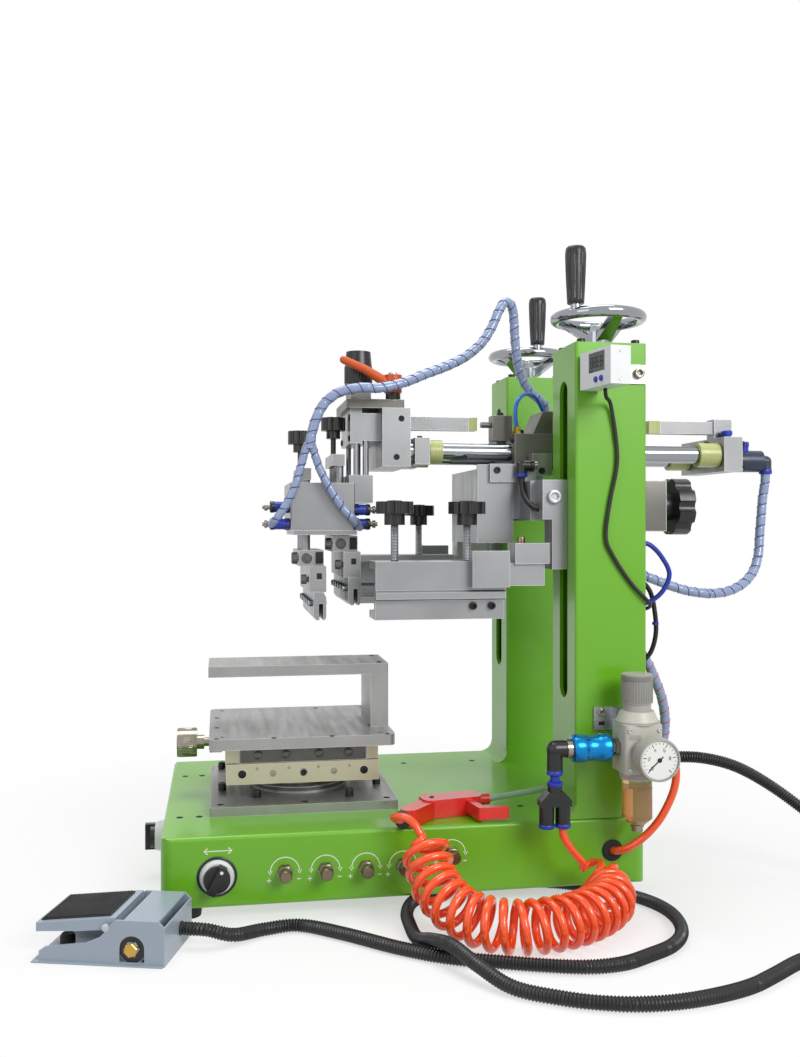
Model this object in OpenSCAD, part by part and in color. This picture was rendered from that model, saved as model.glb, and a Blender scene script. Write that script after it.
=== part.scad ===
// Bench-top screen printing machine: a base with two columns, a print head that
// lifts on screws and strokes on two rods, a turning work table, an air regulator,
// an air gun and a foot pedal. All sizes are in millimetres.
// X runs along the base, Y runs back from the control panel, Z runs up from the bench.

/* [Base] */
// Length of the base
base_w = 500; // [480:5:540]
// Depth of the base
base_d = 345; // [335:5:380]
// Height of the base box
base_h = 70; // [64:1:90]
// Height of the rubber feet
foot_h = 14; // [10:1:20]
// Diameter of a rubber foot
foot_d = 30; // [20:1:36]
// Radius of the base's upright corners
base_corner = 12; // [6:1:16]
// Radius of the base's top and bottom edges
base_edge = 4; // [2:0.5:5]

/* [Columns] */
// Side of a square column
column_s = 78; // [74:1:84]
// Height of a column above the base
column_h = 497; // [480:1:560]
// Wall of a column
column_wall = 4; // [3:0.5:6]
// Thickness of a column's top plate
cap_t = 8; // [6:1:12]
// Width of the slot that a carriage rides in
slot_w = 26; // [24:1:30]
// Bottom of the slot above the base
slot_low = 121; // [110:1:160]
// Top of the slot above the base
slot_high = 460; // [440:1:465]

/* [Handwheels] */
// Outer radius of a handwheel
wheel_r = 51.5; // [45:0.5:53]
// Radius of a handwheel's rim tube
rim_r = 6; // [5:0.5:8]
// Height of the rim's middle above the column
rim_rise = 32; // [28:1:40]
// Diameter of a lift screw
screw_d = 16; // [12:1:20]
// Length of a handwheel's grip
grip_h = 60; // [45:1:75]
// Diameter of a grip at its top
grip_d = 22; // [18:1:26]

/* [Lift] */
// Height of the stroke rods above the bench
rod_z = 473.5; // [465:0.5:480]
// Diameter of a stroke rod
rod_d = 20; // [16:1:24]
// Distance between the stroke rods
rod_gap = 82; // [78:1:90]
// Left end of the bearing housing
housing_x = 370; // [366:1:374]
// Length of the bearing housing
housing_w = 100; // [90:1:104]
// Height of the bearing housing
housing_h = 42; // [36:1:48]
// Width of the cross beam along X
beam_w = 28; // [24:1:30]
// Height of the cross beam
beam_h = 43; // [38:1:48]
// Height of the cross beam's underside above the bench
beam_z = 395; // [390:1:400]

/* [Screen clamp] */
// Left end of the clamp arms
arm_x = 216; // [200:1:225]
// Length of a clamp arm
arm_len = 138; // [120:1:150]
// Height of a clamp arm
arm_h = 61; // [50:1:64]
// Wall of a clamp arm
arm_t = 8; // [6:0.5:9]
// Reach of a clamp arm's flanges towards the middle
arm_reach = 46; // [40:1:50]
// Height of the clamp arms' underside above the bench
arm_z = 291; // [280:1:296]

/* [Print head] */
// Left face of the clamp block on the rods
clamp_x = 236; // [232:1:240]
// Length of the clamp block along X
clamp_w = 32; // [28:1:34]
// Left face of the twin cylinder block
cyl_x = 134; // [130:1:138]
// Length of the twin cylinder block along X
cyl_w = 72; // [68:1:76]
// Depth of the twin cylinder block
cyl_d = 110; // [100:1:120]
// Height of the twin cylinder block
cyl_h = 53; // [45:1:58]
// Underside of the twin cylinder block above the bench
cyl_z = 384; // [380:1:390]
// Distance between the two squeegees
squeegee_gap = 38; // [37:0.5:44]
// Travel of a squeegee
squeegee_stroke = 16; // [12:1:20]
// Length of a squeegee holder
holder_len = 150; // [120:5:170]

/* [Work table] */
// Side of the bottom plate
plate_s = 200; // [180:5:210]
// Thickness of the bottom plate
plate_t = 10; // [8:1:14]
// Diameter of the turntable's ring
ring_d = 109; // [100:1:120]
// Diameter of the turntable's drum
drum_d = 83; // [70:1:90]
// Width of the table top
top_w = 199; // [180:1:210]
// Depth of the table top
top_d = 190; // [180:1:210]
// Thickness of the table top
top_t = 12; // [10:1:16]
// Height of the work holder
jig_h = 71; // [60:1:75]
// Depth of the work holder
jig_d = 80; // [60:1:100]
// Thickness of the work holder's top bar
jig_t = 12; // [10:1:16]

/* [Air supply] */
// Side of the regulator's body
reg_s = 40; // [36:1:44]
// Height of the regulator's body
reg_h = 49; // [44:1:54]
// Diameter of the pressure gauge
gauge_d = 42; // [38:1:46]
// Diameter of the clear bowl
bowl_d = 30; // [26:1:34]

/* [Foot pedal] */
// Length of the pedal
pedal_l = 120; // [100:5:140]
// Width of the pedal
pedal_w = 78; // [70:1:90]
// Height of the pedal's guard
pedal_h = 40; // [36:1:48]
// Thickness of the pedal's sheet metal
pedal_t = 2; // [1.5:0.5:3]

/* [Hidden] */
$fn = 48;

// Running clearance of a shaft in its bore
fit = 0.05;
// Gap between pieces that slide face to face
slide_gap = 0.3;

base_top = foot_h + base_h;
mid_y = base_d / 2;
column_x = base_w - column_s / 2;
near_y = column_s / 2;
far_y = base_d - column_s / 2;
column_top = base_top + column_h;
column_face = base_w - column_s;
rim_z = column_top + rim_rise;

// Clamp arms and their two sides
arm_near_y = near_y - 11;
arm_top = arm_z + arm_h;
// Lift carriages
carriage_w = beam_w + 3;
carriage_low = beam_z - 52;
nut_s = 44;
tongue_gap = 1;
// Bearing housing
housing_z = rod_z - housing_h / 2;
rod_near = mid_y - rod_gap / 2;
rod_far = mid_y + rod_gap / 2;
// Shuttle
rod_left = clamp_x + 6;
rod_right = housing_x + housing_w + 195;
end_block_w = 23;
end_block_x = rod_right - end_block_w + 3;
bar_s = 15;
bar_z = rod_z + 33.5;
stop_travel = 88;
// Print head
head_d = 122;
clamp_z = rod_z - 18;
clamp_top = rod_z + 47.5;
plate_h = 10;
head_top = clamp_top + plate_h;
cyl_mid = cyl_x + cyl_w / 2 + 2;
left_x = cyl_mid - squeegee_gap / 2;
right_x = cyl_mid + squeegee_gap / 2;
cyl_top = cyl_z + cyl_h;
guide_d = 10;
ram_d = 8;
// Work table
table_x = 47;
table_cx = table_x + plate_s / 2;
table_cy = mid_y - 2.5;
plate_top = base_top + plate_t;
drum_top = plate_top + 17;
bed_h = 22;
spacer_h = 19;
top_z = drum_top + bed_h + spacer_h;
top_x = table_x - 1;
jig_y = table_cy - 50;
// Regulator, in front of the near column
reg_x = column_x + 14;
reg_y = -35;
reg_z = base_top + 57;
reg_mid = reg_z + reg_h / 2;
branch_x = reg_x - 87;
// Pedal
pedal_x = -106;
pedal_y = -67;
pedal_turn = -16;
pedal_pivot = [66, 34];
// The origin is on the bench, under the middle of the machine and its pedal
end_x = end_block_x + end_block_w + 46;
pedal_left = pedal_x - (pedal_t + 1) * sin(pedal_turn);
pedal_front = pedal_y + pedal_l * sin(pedal_turn);
wheel_back = far_y + wheel_r;
origin_x = (pedal_left + end_x) / 2;
origin_y = (pedal_front + wheel_back) / 2;

// Routes of the hoses and cords, as points chosen by hand in the machine's own axes
conduit_route = [
    [22, -57, 18], [46, -63, 17], [70, -58, 9], [100, -42, 6.5], [133, -38, 6.5],
    [172, -66, 6.5], [218, -108, 6.5], [258, -136, 6.5], [300, -153, 6.5],
    [338, -167, 6.5], [374, -176, 6.5], [406, -174, 6.5], [435, -161, 6.5],
    [463, -145, 6.5], [483, -122, 6.5], [494, -94, 6.5], [497, -65, 6.5],
    [491, -38, 6.5], [476, -13, 6.5], [448, 13, 6.5], [414, 35, 6.5],
    [374, 48, 6.5], [330, 48, 6.5], [286, 34, 6.5], [254, 10, 6.5],
    [240, -22, 6.5], [237, -55, 6.5], [238, -88, 6.5], [246, -116, 15],
    [258, -144, 20.5], [274, -176, 15], [296, -206, 7.5], [329, -229, 6.5],
    [358, -243, 6.5], [389, -251, 6.5], [424, -252, 6.5], [460, -246, 6.5],
    [494, -235, 6.5], [524, -218, 6.5], [560, -196, 6.5], [600, -180, 6.5],
    [642, -164, 6.5], [682, -142, 6.5], [714, -110, 7], [734, -72, 12],
    [738, -32, 24], [724, 4, 46], [696, 28, 74], [660, 38, 101],
    [622, 39, 122], [584, 39, 133], [548, 39, 136], [516, 39, 136]];
gun_route = [
    [396, -35, 89], [397, -36, 78], [404, -38, 66], [412, -38, 56], [426, -38, 40],
    [436, -48, 29], [432, -74, 26], [412, -98, 26], [385, -116, 26], [354, -127, 26],
    [322, -128, 26], [293, -114, 28], [272, -94, 35], [259, -68, 49], [256, -52, 64],
    [254, -40, 78], [250, -36, 89], [245, -32, 97], [238, -27, 101.5], [231.5, -21.5, 101.5],
    [228, -16, 99.5], [229.2, -11.5, 97], [233, -8.6, 94.8], [237.4, -5.6, 93.4]];
regulator_route = [
    [503, -35, 165], [513, -34, 156], [518, -33, 140], [517, -32, 122], [511, -30, 104],
    [501, -28, 86], [487, -25, 70], [473, -19, 58], [464, -10, 52], [462, 1, 50], [462, 8, 50]];
readout_route = [
    [443, -30, 527.7], [448, -20, 521], [458, -6, 515], [465, -3, 480], [466, -3, 452],
    [458, -3, 412], [454, -3, 378], [461, -3, 359], [480, -3, 331], [498, -4, 312],
    [505, 2, 306], [507, 12, 302], [506, 21, 300], [500.3, 22, 300]];
head_hose_route = [
    [442, 168, 524.6], [442, 168, 533], [434, 168, 541], [423, 168, 550], [413, 168, 566],
    [407, 167, 588], [404, 166, 612], [402, 164, 636], [398, 160, 650], [389, 156, 653],
    [380, 152, 640], [371, 149, 621], [358, 145, 602], [338, 139, 585], [314, 130, 572],
    [286, 118, 560], [258, 106, 548], [231, 99, 541], [208, 97, 540], [186, 98, 535],
    [170, 99, 523], [161, 99, 506], [156, 100, 489], [154, 101, 474]];
left_branch_route = [
    [152, 101, 479], [149, 103, 470], [144, 105, 452], [138, 104, 432], [129, 105, 413], [120, 106, 399],
    [114, 112, 392], [113, 120, 391]];
right_branch_route = [
    [156, 101, 479], [159, 103, 470], [166, 104, 450], [178, 104, 428], [191, 105, 409], [203, 106, 396],
    [210, 112, 388], [211, 120, 388]];
stroke_hose_route = [
    [707, 131, 452], [706, 131, 440], [703, 131, 422], [700, 129, 400], [697, 127, 378],
    [693, 123, 354], [683, 117, 334], [665, 109, 320], [642, 102, 312]];
lift_hose_route = [
    [617, 98, 310], [590, 97, 314], [564, 97, 322], [540, 97, 331], [518, 97, 340],
    [502, 95, 346], [492, 91, 349], [490, 88, 350], [490, 84, 350]];
column_hose_route = [
    [508, 62, 252], [514, 62, 252], [524, 60, 241], [534, 59, 220], [543, 59, 196], [547, 60, 170],
    [543, 60, 144], [533, 61, 120], [523, 61, 104], [514, 62, 98], [508, 62, 98]];

// A flat outline with round corners
module round_rect(w, d, r) {
    translate([r, 0]) square([w - 2 * r, d]);
    translate([0, r]) square([w, d - 2 * r]);
    for (x = [r, w - r], y = [r, d - r])
        translate([x, y]) circle(r);
}

// A plate with round upright corners
module plate(w, d, h, r) {
    linear_extrude(h) round_rect(w, d, r);
}

// A box with all its edges rounded, more at the upright corners
module soft_box(w, d, h, corner, edge) {
    intersection() {
        linear_extrude(h) round_rect(w, d, corner);
        translate([0, d, 0]) rotate([90, 0, 0]) linear_extrude(d) round_rect(w, h, edge);
        rotate([90, 0, 90]) linear_extrude(w) round_rect(d, h, edge);
    }
}

// A cylinder along X, and one along Y
module x_cylinder(d, h) {
    rotate([0, 90, 0]) cylinder(d = d, h = h);
}
module y_cylinder(d, h) {
    rotate([-90, 0, 0]) cylinder(d = d, h = h);
}

// Mirrors what follows to the far side of the machine
module on_far_side() {
    translate([0, 2 * mid_y, 0]) mirror([0, 1, 0]) children();
}

// A star knob with round lobes, standing on its hub
module star_knob(d, h, hub_d, hub_h) {
    cylinder(d = hub_d, h = hub_h + 1);
    translate([0, 0, hub_h]) difference() {
        cylinder(d = d, h = h - hub_h);
        for (a = [0 : 45 : 359])
            rotate(a) translate([d * 0.56, 0, -1]) cylinder(d = d * 0.24, h = h);
    }
}

// Unit vector, and the direction of a route at one of its points
function unit(v) = v / norm(v);
function along(p, i) = unit(p[min(i + 1, len(p) - 1)] - p[max(i - 1, 0)]);
function square_to(n, t) = unit(n - (n * t) * t);
// Directions across a route, turned as little as possible from ring to ring
function sides_of(p) = [
    for (i = 0, n = square_to([0.31, 0.52, 0.8], along(p, 0)); i < len(p);
         i = i + 1, n = i < len(p) ? square_to(n, along(p, i)) : n) n];
function ring(c, t, n, r, count) = [
    for (k = [0 : count - 1])
        c + r * (cos(360 * k / count) * n + sin(360 * k / count) * cross(t, n))];

// A hose along a route, with its radius at each point
module tube(route, radii, count) {
    n = sides_of(route);
    last = len(route) - 1;
    points = [for (i = [0 : last]) each ring(route[i], along(route, i), n[i], radii[i], count)];
    walls = [for (i = [0 : last - 1], k = [0 : count - 1])
        let (a = i * count, b = a + count, m = (k + 1) % count) [a + k, b + k, b + m, a + m]];
    start = [for (k = [0 : count - 1]) k];
    end = [for (k = [count - 1 : -1 : 0]) last * count + k];
    polyhedron(points, concat(walls, [start], [end]), convexity = 10);
}
module even_tube(route, d, count = 8) {
    tube(route, [for (p = route) d / 2], count);
}

// Base, feet and columns
module base_housing() {
    color([0.45, 0.76, 0.22]) difference() {
        translate([0, 0, foot_h]) soft_box(base_w, base_d, base_h, base_corner, base_edge);
        translate([462, -1, 50]) y_cylinder(18, 9);
    }
}
module rubber_feet() {
    inset = 26;
    color([0.08, 0.08, 0.08])
        for (x = [inset, base_w - inset], y = [inset, base_d - inset])
            translate([x, y, 0]) cylinder(d1 = foot_d - 4, d2 = foot_d, h = foot_h);
}
// A hollow column with a slot in the face towards the head
flare_r = 14;
module column() {
    inner = column_s - 2 * column_wall;
    slot_r = slot_w / 2;
    difference() {
        translate([-flare_r, 0, 0]) cube([flare_r + 2, column_s, flare_r]);
        translate([-flare_r, -1, flare_r]) y_cylinder(2 * flare_r, column_s + 2);
        translate([column_wall, column_wall, 6]) cube([inner, inner, column_h]);
    }
    difference() {
        plate(column_s, column_s, column_h, 3);
        translate([column_wall, column_wall, 6])
            plate(inner, inner, column_h - 6 - cap_t, 1);
        translate([-1, column_s / 2 - slot_r, slot_low + slot_r])
            cube([column_wall + 2, slot_w, slot_high - slot_low - slot_w]);
        for (z = [slot_low + slot_r, slot_high - slot_r])
            translate([-1, column_s / 2, z]) x_cylinder(slot_w, column_wall + 2);
        translate([column_s / 2, column_s / 2, -1])
            cylinder(d = screw_d + 2 * fit, h = column_h + 2);
        children();
    }
}
module near_column() {
    slot_r = slot_w / 2;
    color([0.45, 0.76, 0.22])
        translate([column_face, 0, base_top])
        column() {
            translate([column_s - column_wall - 1, column_s / 2 - slot_r, slot_low + slot_r])
                cube([column_wall + 2, slot_w, slot_high - slot_low - slot_w]);
        }
}
module far_column() {
    color([0.45, 0.76, 0.22])
        translate([column_face, base_d - column_s, base_top])
        column();
}

// Control panel
selector_x = 54.6;
selector_z = foot_h + 31;
bezel_d = 35;
bezel_t = 7;
end_switch_y = 150;
end_bezel_t = 13;
module bezel(t) {
    cylinder(d1 = bezel_d, d2 = bezel_d - 5, h = t);
}
module switch_bezels() {
    color([0.93, 0.94, 0.95]) {
        translate([selector_x, 0, selector_z]) rotate([90, 0, 0]) bezel(bezel_t);
        translate([0, end_switch_y, selector_z]) rotate([0, -90, 0]) bezel(end_bezel_t);
    }
}
// A round switch knob with a raised bar across it
module selector_knob() {
    cylinder(d = 26, h = 5);
    translate([-4, -14, 0]) cube([8, 28, 11]);
}
module front_selector() {
    color([0.05, 0.05, 0.06])
        translate([selector_x, -bezel_t, selector_z])
        rotate([90, 27, 0]) selector_knob();
}
module end_selector() {
    color([0.05, 0.05, 0.06])
        translate([-end_bezel_t, end_switch_y, selector_z])
        rotate([90, 0, -90]) selector_knob();
}
module needle_valve() {
    cylinder(d = 17, h = 2.5, $fn = 6);
    cylinder(d = 10, h = 9);
    translate([0, 0, 8]) cylinder(d = 12, h = 9);
}
module needle_valves() {
    color([0.75, 0.74, 0.7])
        for (p = [[121, 46], [161.5, 46], [202, 46], [240, 46], [290, 55]])
            translate([p.x, 0, p.y]) rotate([90, 0, 0]) needle_valve();
}

// Position readout, on a bracket at the top of the near column
readout_turn = 9;
readout_x = base_w - 75;
readout_z = column_top - 52;
module position_readout() {
    size = [22.5, 62, 38];
    screen = [1, 32, 20];
    color([0.9, 0.92, 0.9])
        translate([readout_x, -5.6, readout_z]) rotate([0, 0, readout_turn])
        difference() {
            translate([0, -size.y, 0]) cube(size);
            translate([-0.5, -size.y + 12, 15]) cube(screen);
        }
}

// Sheet steel brackets of the readout and of the regulator
module steel_brackets() {
    wing = -reg_y - reg_s / 2;
    color([0.72, 0.74, 0.76]) {
        translate([readout_x + 14, -2, readout_z + 9])
            cube([base_w - readout_x - 15, 2, 20]);
        translate([reg_x - 34, -3, reg_mid + 11]) cube([34, 3, 24]);
        translate([reg_x - 15, -wing, reg_mid + 11]) cube([3, wing - 3, 24]);
    }
}

// Regulator with its knob, gauge and clear bowl
module regulator_body() {
    half = reg_s / 2;
    color([0.8, 0.79, 0.74]) difference() {
        union() {
            translate([reg_x - half, reg_y - half, reg_z]) plate(reg_s, reg_s, reg_h, 5);
            translate([reg_x, reg_y, reg_z - 8]) cylinder(d = 34, h = 9);
            translate([reg_x, reg_y, reg_z + reg_h]) cylinder(d1 = 45, d2 = 34, h = 12);
            translate([reg_x + half, reg_y, reg_mid]) x_cylinder(15, 8);
        }
        translate([reg_x + half, reg_y, reg_mid]) x_cylinder(8, 10);
    }
}
module regulator_knob() {
    color([0.62, 0.61, 0.58])
        translate([reg_x, reg_y, reg_z + reg_h + 12]) {
            cylinder(d = 28, h = 8);
            translate([0, 0, 8]) cylinder(d = 31, h = 29);
        }
}
module regulator_bowl() {
    bowl_h = 52;
    color([0.85, 0.7, 0.45, 0.6])
        translate([reg_x, reg_y, reg_z - 8 - bowl_h]) {
            translate([0, 0, 12]) cylinder(d = bowl_d, h = bowl_h - 12);
            translate([0, 0, 5]) cylinder(d1 = 14, d2 = bowl_d, h = 7);
            cylinder(d = 9, h = 6);
        }
}
module pressure_gauge() {
    face_y = reg_y - reg_s / 2;
    color([0.9, 0.9, 0.88])
        translate([reg_x + 5, face_y, reg_mid - 5]) rotate([90, 0, 0]) {
            cylinder(d = 26, h = 8);
            translate([0, 0, 8]) difference() {
                cylinder(d = gauge_d, h = 18);
                translate([0, 0, 16]) cylinder(d = gauge_d - 4, h = 3);
            }
        }
}
module hand_valve() {
    left = reg_x - reg_s / 2;
    color([0.1, 0.45, 0.75]) {
        translate([left - 12, reg_y, reg_mid]) x_cylinder(16, 12);
        translate([left - 51, reg_y, reg_mid]) x_cylinder(28, 39);
        translate([left - 56, reg_y, reg_mid]) x_cylinder(18, 5);
    }
}
// Elbow and branch piece that feed the machine and the air gun
branch_low = base_top + 5;
module air_branch() {
    left = reg_x - reg_s / 2 - 56;
    leg = 8.5;
    color([0.06, 0.07, 0.09]) difference() {
        union() {
            translate([branch_x, reg_y, reg_mid]) x_cylinder(17, left - branch_x);
            translate([branch_x, reg_y, reg_mid]) sphere(d = 17);
            translate([branch_x, reg_y, reg_mid - 22]) cylinder(d = 16, h = 22);
            translate([branch_x, reg_y, branch_low + 40]) cylinder(d = 9, h = reg_mid - branch_low - 60);
            translate([branch_x, reg_y, branch_low + 30]) cylinder(d = 15, h = 12);
            translate([branch_x, reg_y + 7.5, branch_low + 20]) rotate([90, 0, 0]) linear_extrude(15)
                polygon([[-16, 0], [-16, 6], [-7.5, 15], [7.5, 15], [16, 6], [16, 0]]);
            for (x = [-leg, leg])
                translate([branch_x + x, reg_y, branch_low]) cylinder(d = 15, h = 24);
        }
        translate([branch_x - leg, reg_y, branch_low - 1]) cylinder(d = 8, h = 16);
    }
}
module regulator_hose() {
    color([0.95, 0.3, 0.05]) even_tube(regulator_route, 8);
}

// Curly hose: its straight ends, and one fat tube for its turns
curl_d = 50;
module gun_hose() {
    last = len(gun_route) - 1;
    thin = 4;
    radii = [for (i = [0 : last]) i < 3 || i > last - 7 ? thin : curl_d / 2];
    color([0.95, 0.3, 0.05]) tube(gun_route, radii, 12);
}

// Air gun, lying on the base with its nozzle towards the column
gun_inlet = [238, -5, base_top + 9.3];
gun_place = [268, 24, base_top + 0.3];
gun_turn = 9.7;
module air_gun() {
    color([0.85, 0.12, 0.08]) {
        translate(gun_inlet) rotate([0, 0, 48]) {
            x_cylinder(17, 12);
            translate([6, -9, -8.5]) plate(54, 18, 17, 7);
        }
        translate(gun_place) rotate([0, 0, gun_turn]) {
            plate(66, 28, 19, 9);
            translate([60, 20, 10]) x_cylinder(12, 20);
            translate([76, 20, 10]) rotate([0, -4, 0]) x_cylinder(6, 70);
            translate([46, -32, 3]) plate(8, 38, 13, 3);
            translate([49, -31, 3.5]) rotate([0, 0, -12]) plate(30, 8, 12, 2.5);
        }
    }
}

// Cable of the readout and the fittings on the near column
module readout_cable() {
    color([0.05, 0.05, 0.05]) even_tube(readout_route, 4);
}
module column_fittings() {
    gland = conduit_route[len(conduit_route) - 1];
    rear = lift_hose_route[len(lift_hose_route) - 1];
    color([0.06, 0.06, 0.07]) {
        translate([base_w, gland.y, gland.z]) {
            x_cylinder(24, 5);
            x_cylinder(20, gland.x - base_w);
        }
        for (p = [column_hose_route[0], column_hose_route[len(column_hose_route) - 1]])
            translate([base_w, p.y, p.z]) x_cylinder(13, p.x - base_w);
        translate([rear.x, column_s, rear.z]) y_cylinder(13, rear.y - column_s);
    }
}
module pedal_conduit() {
    color([0.06, 0.06, 0.07]) even_tube(conduit_route, 13);
}

// Foot pedal: x runs from its toe to its heel
module pedal_place() {
    translate([pedal_x, pedal_y, 0]) rotate([0, 0, pedal_turn]) children();
}
module pedal_side() {
    difference() {
        polygon([[4, 3], [4, 10], [10, 14], [48, 19], [60, 24], [66, 30], [70, pedal_h - 4],
                 [75, pedal_h], [pedal_l - 6, pedal_h], [pedal_l, pedal_h - 6], [pedal_l, 3]]);
        translate([pedal_l - 30, 15]) circle(d = 23);
        translate([pedal_l - 41.5, 2]) square([23, 13]);
    }
}
module pedal_frame() {
    color([0.6, 0.65, 0.7]) pedal_place() {
        translate([4, 0, 0]) cube([pedal_l - 4, pedal_w, 3]);
        for (y = [pedal_t, pedal_w])
            translate([0, y, 0]) rotate([90, 0, 0]) linear_extrude(pedal_t) pedal_side();
        translate([82, 0, pedal_h - pedal_t]) cube([pedal_l - 88, pedal_w, pedal_t]);
        translate([pedal_l - pedal_t, 0, 0]) cube([pedal_t, pedal_w, pedal_h - 6]);
    }
    color([0.75, 0.6, 0.35]) pedal_place() {
        translate([pedal_l - 30, pedal_t, 15]) y_cylinder(27, pedal_w - 2 * pedal_t);
        translate([pedal_l - 30, pedal_t, 15]) rotate([90, 0, 0]) cylinder(d = 14, h = 4, $fn = 6);
    }
    color([0.3, 0.3, 0.3]) pedal_place()
        translate([pedal_pivot.x, pedal_t, pedal_pivot.y - 1]) y_cylinder(5, pedal_w - 2 * pedal_t);
}
module pedal_treadle() {
    inner = pedal_w - 2 * pedal_t - 2;
    color([0.62, 0.67, 0.72]) pedal_place() translate([0, pedal_t + 1, 0]) difference() {
        rotate([90, 0, 0]) translate([0, 0, -inner]) linear_extrude(inner)
            polygon([[0, 26], [0, 34], [70, 41], [74, 41], [74, 30], [62, 30], [40, 28]]);
        rotate([90, 0, 0]) translate([0, 0, -inner + pedal_t]) linear_extrude(inner - 2 * pedal_t)
            polygon([[2, 20], [2, 32], [70, 39], [72, 39], [72, 20]]);
        translate([pedal_pivot.x, -1, pedal_pivot.y - 1]) y_cylinder(5 + 2 * fit, inner + 2);
    }
}

// Work table: a plate, a turntable on it, a bed, and the sliding top
pivot_d = 20;
lead_d = 10;
module table_plate() {
    color([0.62, 0.63, 0.65]) difference() {
        union() {
            translate([table_x, table_cy - plate_s / 2, base_top]) plate(plate_s, plate_s, plate_t, 3);
            translate([table_cx, table_cy, plate_top]) cylinder(d = ring_d, h = 7);
        }
        translate([table_cx, table_cy, plate_top - 4]) cylinder(d = pivot_d + 2 * fit, h = 20);
    }
}
bed_w = plate_s - 34;
bed_d = 150;
rail_d = 40;
lead_w = 14;
module turntable() {
    color([0.85, 0.82, 0.7]) difference() {
        union() {
            translate([table_cx, table_cy, plate_top + 7 + slide_gap])
                cylinder(d = drum_d, h = drum_top - plate_top - 7 - slide_gap);
            translate([table_cx, table_cy, plate_top - 3]) cylinder(d = pivot_d, h = 12);
            translate([table_cx - bed_w / 2, table_cy - bed_d / 2, drum_top])
                cube([bed_w, bed_d, bed_h]);
            translate([table_x + 27, table_cy - rail_d / 2, drum_top + bed_h])
                cube([bed_w - 20, rail_d, 13]);
        }
        for (i = [-2 : 2])
            translate([table_cx + i * 33, table_cy - bed_d / 2 - 1, drum_top + bed_h / 2])
                y_cylinder(abs(i) == 1 ? 5 : 9, 8);
    }
}
module table_top() {
    spacer_d = (bed_d - rail_d) / 2 - 2;
    color([0.7, 0.71, 0.73]) difference() {
        union() {
            translate([top_x, table_cy - top_d / 2, top_z]) plate(top_w, top_d, top_t, 8);
            for (side = [-1, 1])
                translate([table_x + 30, table_cy + side * (rail_d / 2 + slide_gap + spacer_d / 2)
                           - spacer_d / 2, drum_top + bed_h + slide_gap])
                    cube([bed_w - 26, spacer_d, spacer_h - slide_gap]);
            translate([top_x, table_cy - 15, drum_top + bed_h + 1]) cube([lead_w, 30, spacer_h - 1]);
        }
        translate([top_x - 1, table_cy, drum_top + bed_h + spacer_h / 2 + 1])
            x_cylinder(lead_d + 2 * fit, lead_w + 2);
        for (x = [14, top_w - 14], y = [-1, 1])
            translate([top_x + x, table_cy + y * (top_d / 2 - 14), top_z - 1])
                cylinder(d = 6, h = top_t + 2);
    }
}
module work_holder() {
    post_w = 20;
    color([0.78, 0.79, 0.8]) translate([top_x - 1, jig_y, top_z + top_t]) {
        translate([top_w - post_w, 0, 0]) cube([post_w, jig_d, jig_h - jig_t]);
        translate([0, 0, jig_h - jig_t]) plate(top_w, jig_d, jig_t, 2);
    }
}
module table_knob() {
    color([0.75, 0.76, 0.77])
        translate([top_x - 36, table_cy, drum_top + bed_h + spacer_h / 2 + 1]) {
            x_cylinder(32, 22);
            translate([22, 0, 0]) x_cylinder(16, 8);
            translate([30, 0, 0]) x_cylinder(lead_d, 6 + lead_w - 1);
        }
}

// Lift: a carriage in each column, joined by the cross beam
block_d = 27;
beam_x = column_face - beam_w - 5;
beam_top = beam_z + beam_h;
// Carriage with the bracket that holds a clamp arm
module carriage() {
    tongue = slot_w - 2 * tongue_gap;
    arm_end = arm_x + arm_len;
    front = near_y - block_d / 2;
    foot_x = beam_x + 16;
    step_z = beam_z + 1;
    translate([arm_end - 38, arm_near_y - 12, arm_z + 34]) cube([40, 12, 38]);
    translate([arm_end + 2, arm_near_y - 4, arm_z + 35]) cube([40, 26, 24]);
    translate([arm_end + 9, arm_near_y - 8, arm_z + 58]) cube([37, 30, 22]);
    translate([arm_end + 45, arm_near_y + 2, arm_z + 58]) cube([foot_x - arm_end - 45, 20, 22]);
    translate([foot_x, front, carriage_low])
        cube([column_face - foot_x - 0.5, block_d, beam_top - carriage_low]);
    translate([beam_x + 5.5, front, step_z])
        cube([column_face - beam_x - 6, block_d, beam_top - step_z]);
    translate([column_face - 1, near_y - tongue / 2, carriage_low + 2])
        cube([column_s / 2, tongue, beam_top - carriage_low - 4]);
    translate([column_x - nut_s / 2, near_y - nut_s / 2, carriage_low + 2])
        cube([nut_s, nut_s, beam_top - carriage_low - 4]);
}
lock_x = base_w + 32;
lock_z = beam_z + 15;
module screw_bore() {
    translate([column_x, near_y, carriage_low - 1])
        cylinder(d = screw_d + 2 * fit, h = beam_top - carriage_low + 2);
}
module near_carriage() {
    tongue = slot_w - 2 * tongue_gap;
    color([0.68, 0.69, 0.71]) difference() {
        union() {
            carriage();
            translate([column_x, near_y - tongue / 2, lock_z - 25]) cube([column_s / 2 + 2, tongue, 50]);
            translate([base_w + 0.5, near_y - 17, beam_top - 55]) cube([lock_x - base_w - 0.5, 34, 55]);
        }
        screw_bore();
        translate([base_w + 8, near_y, lock_z]) x_cylinder(12 + 2 * fit, 30);
    }
}
module far_carriage() {
    color([0.68, 0.69, 0.71]) on_far_side() difference() {
        carriage();
        screw_bore();
    }
}
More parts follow.
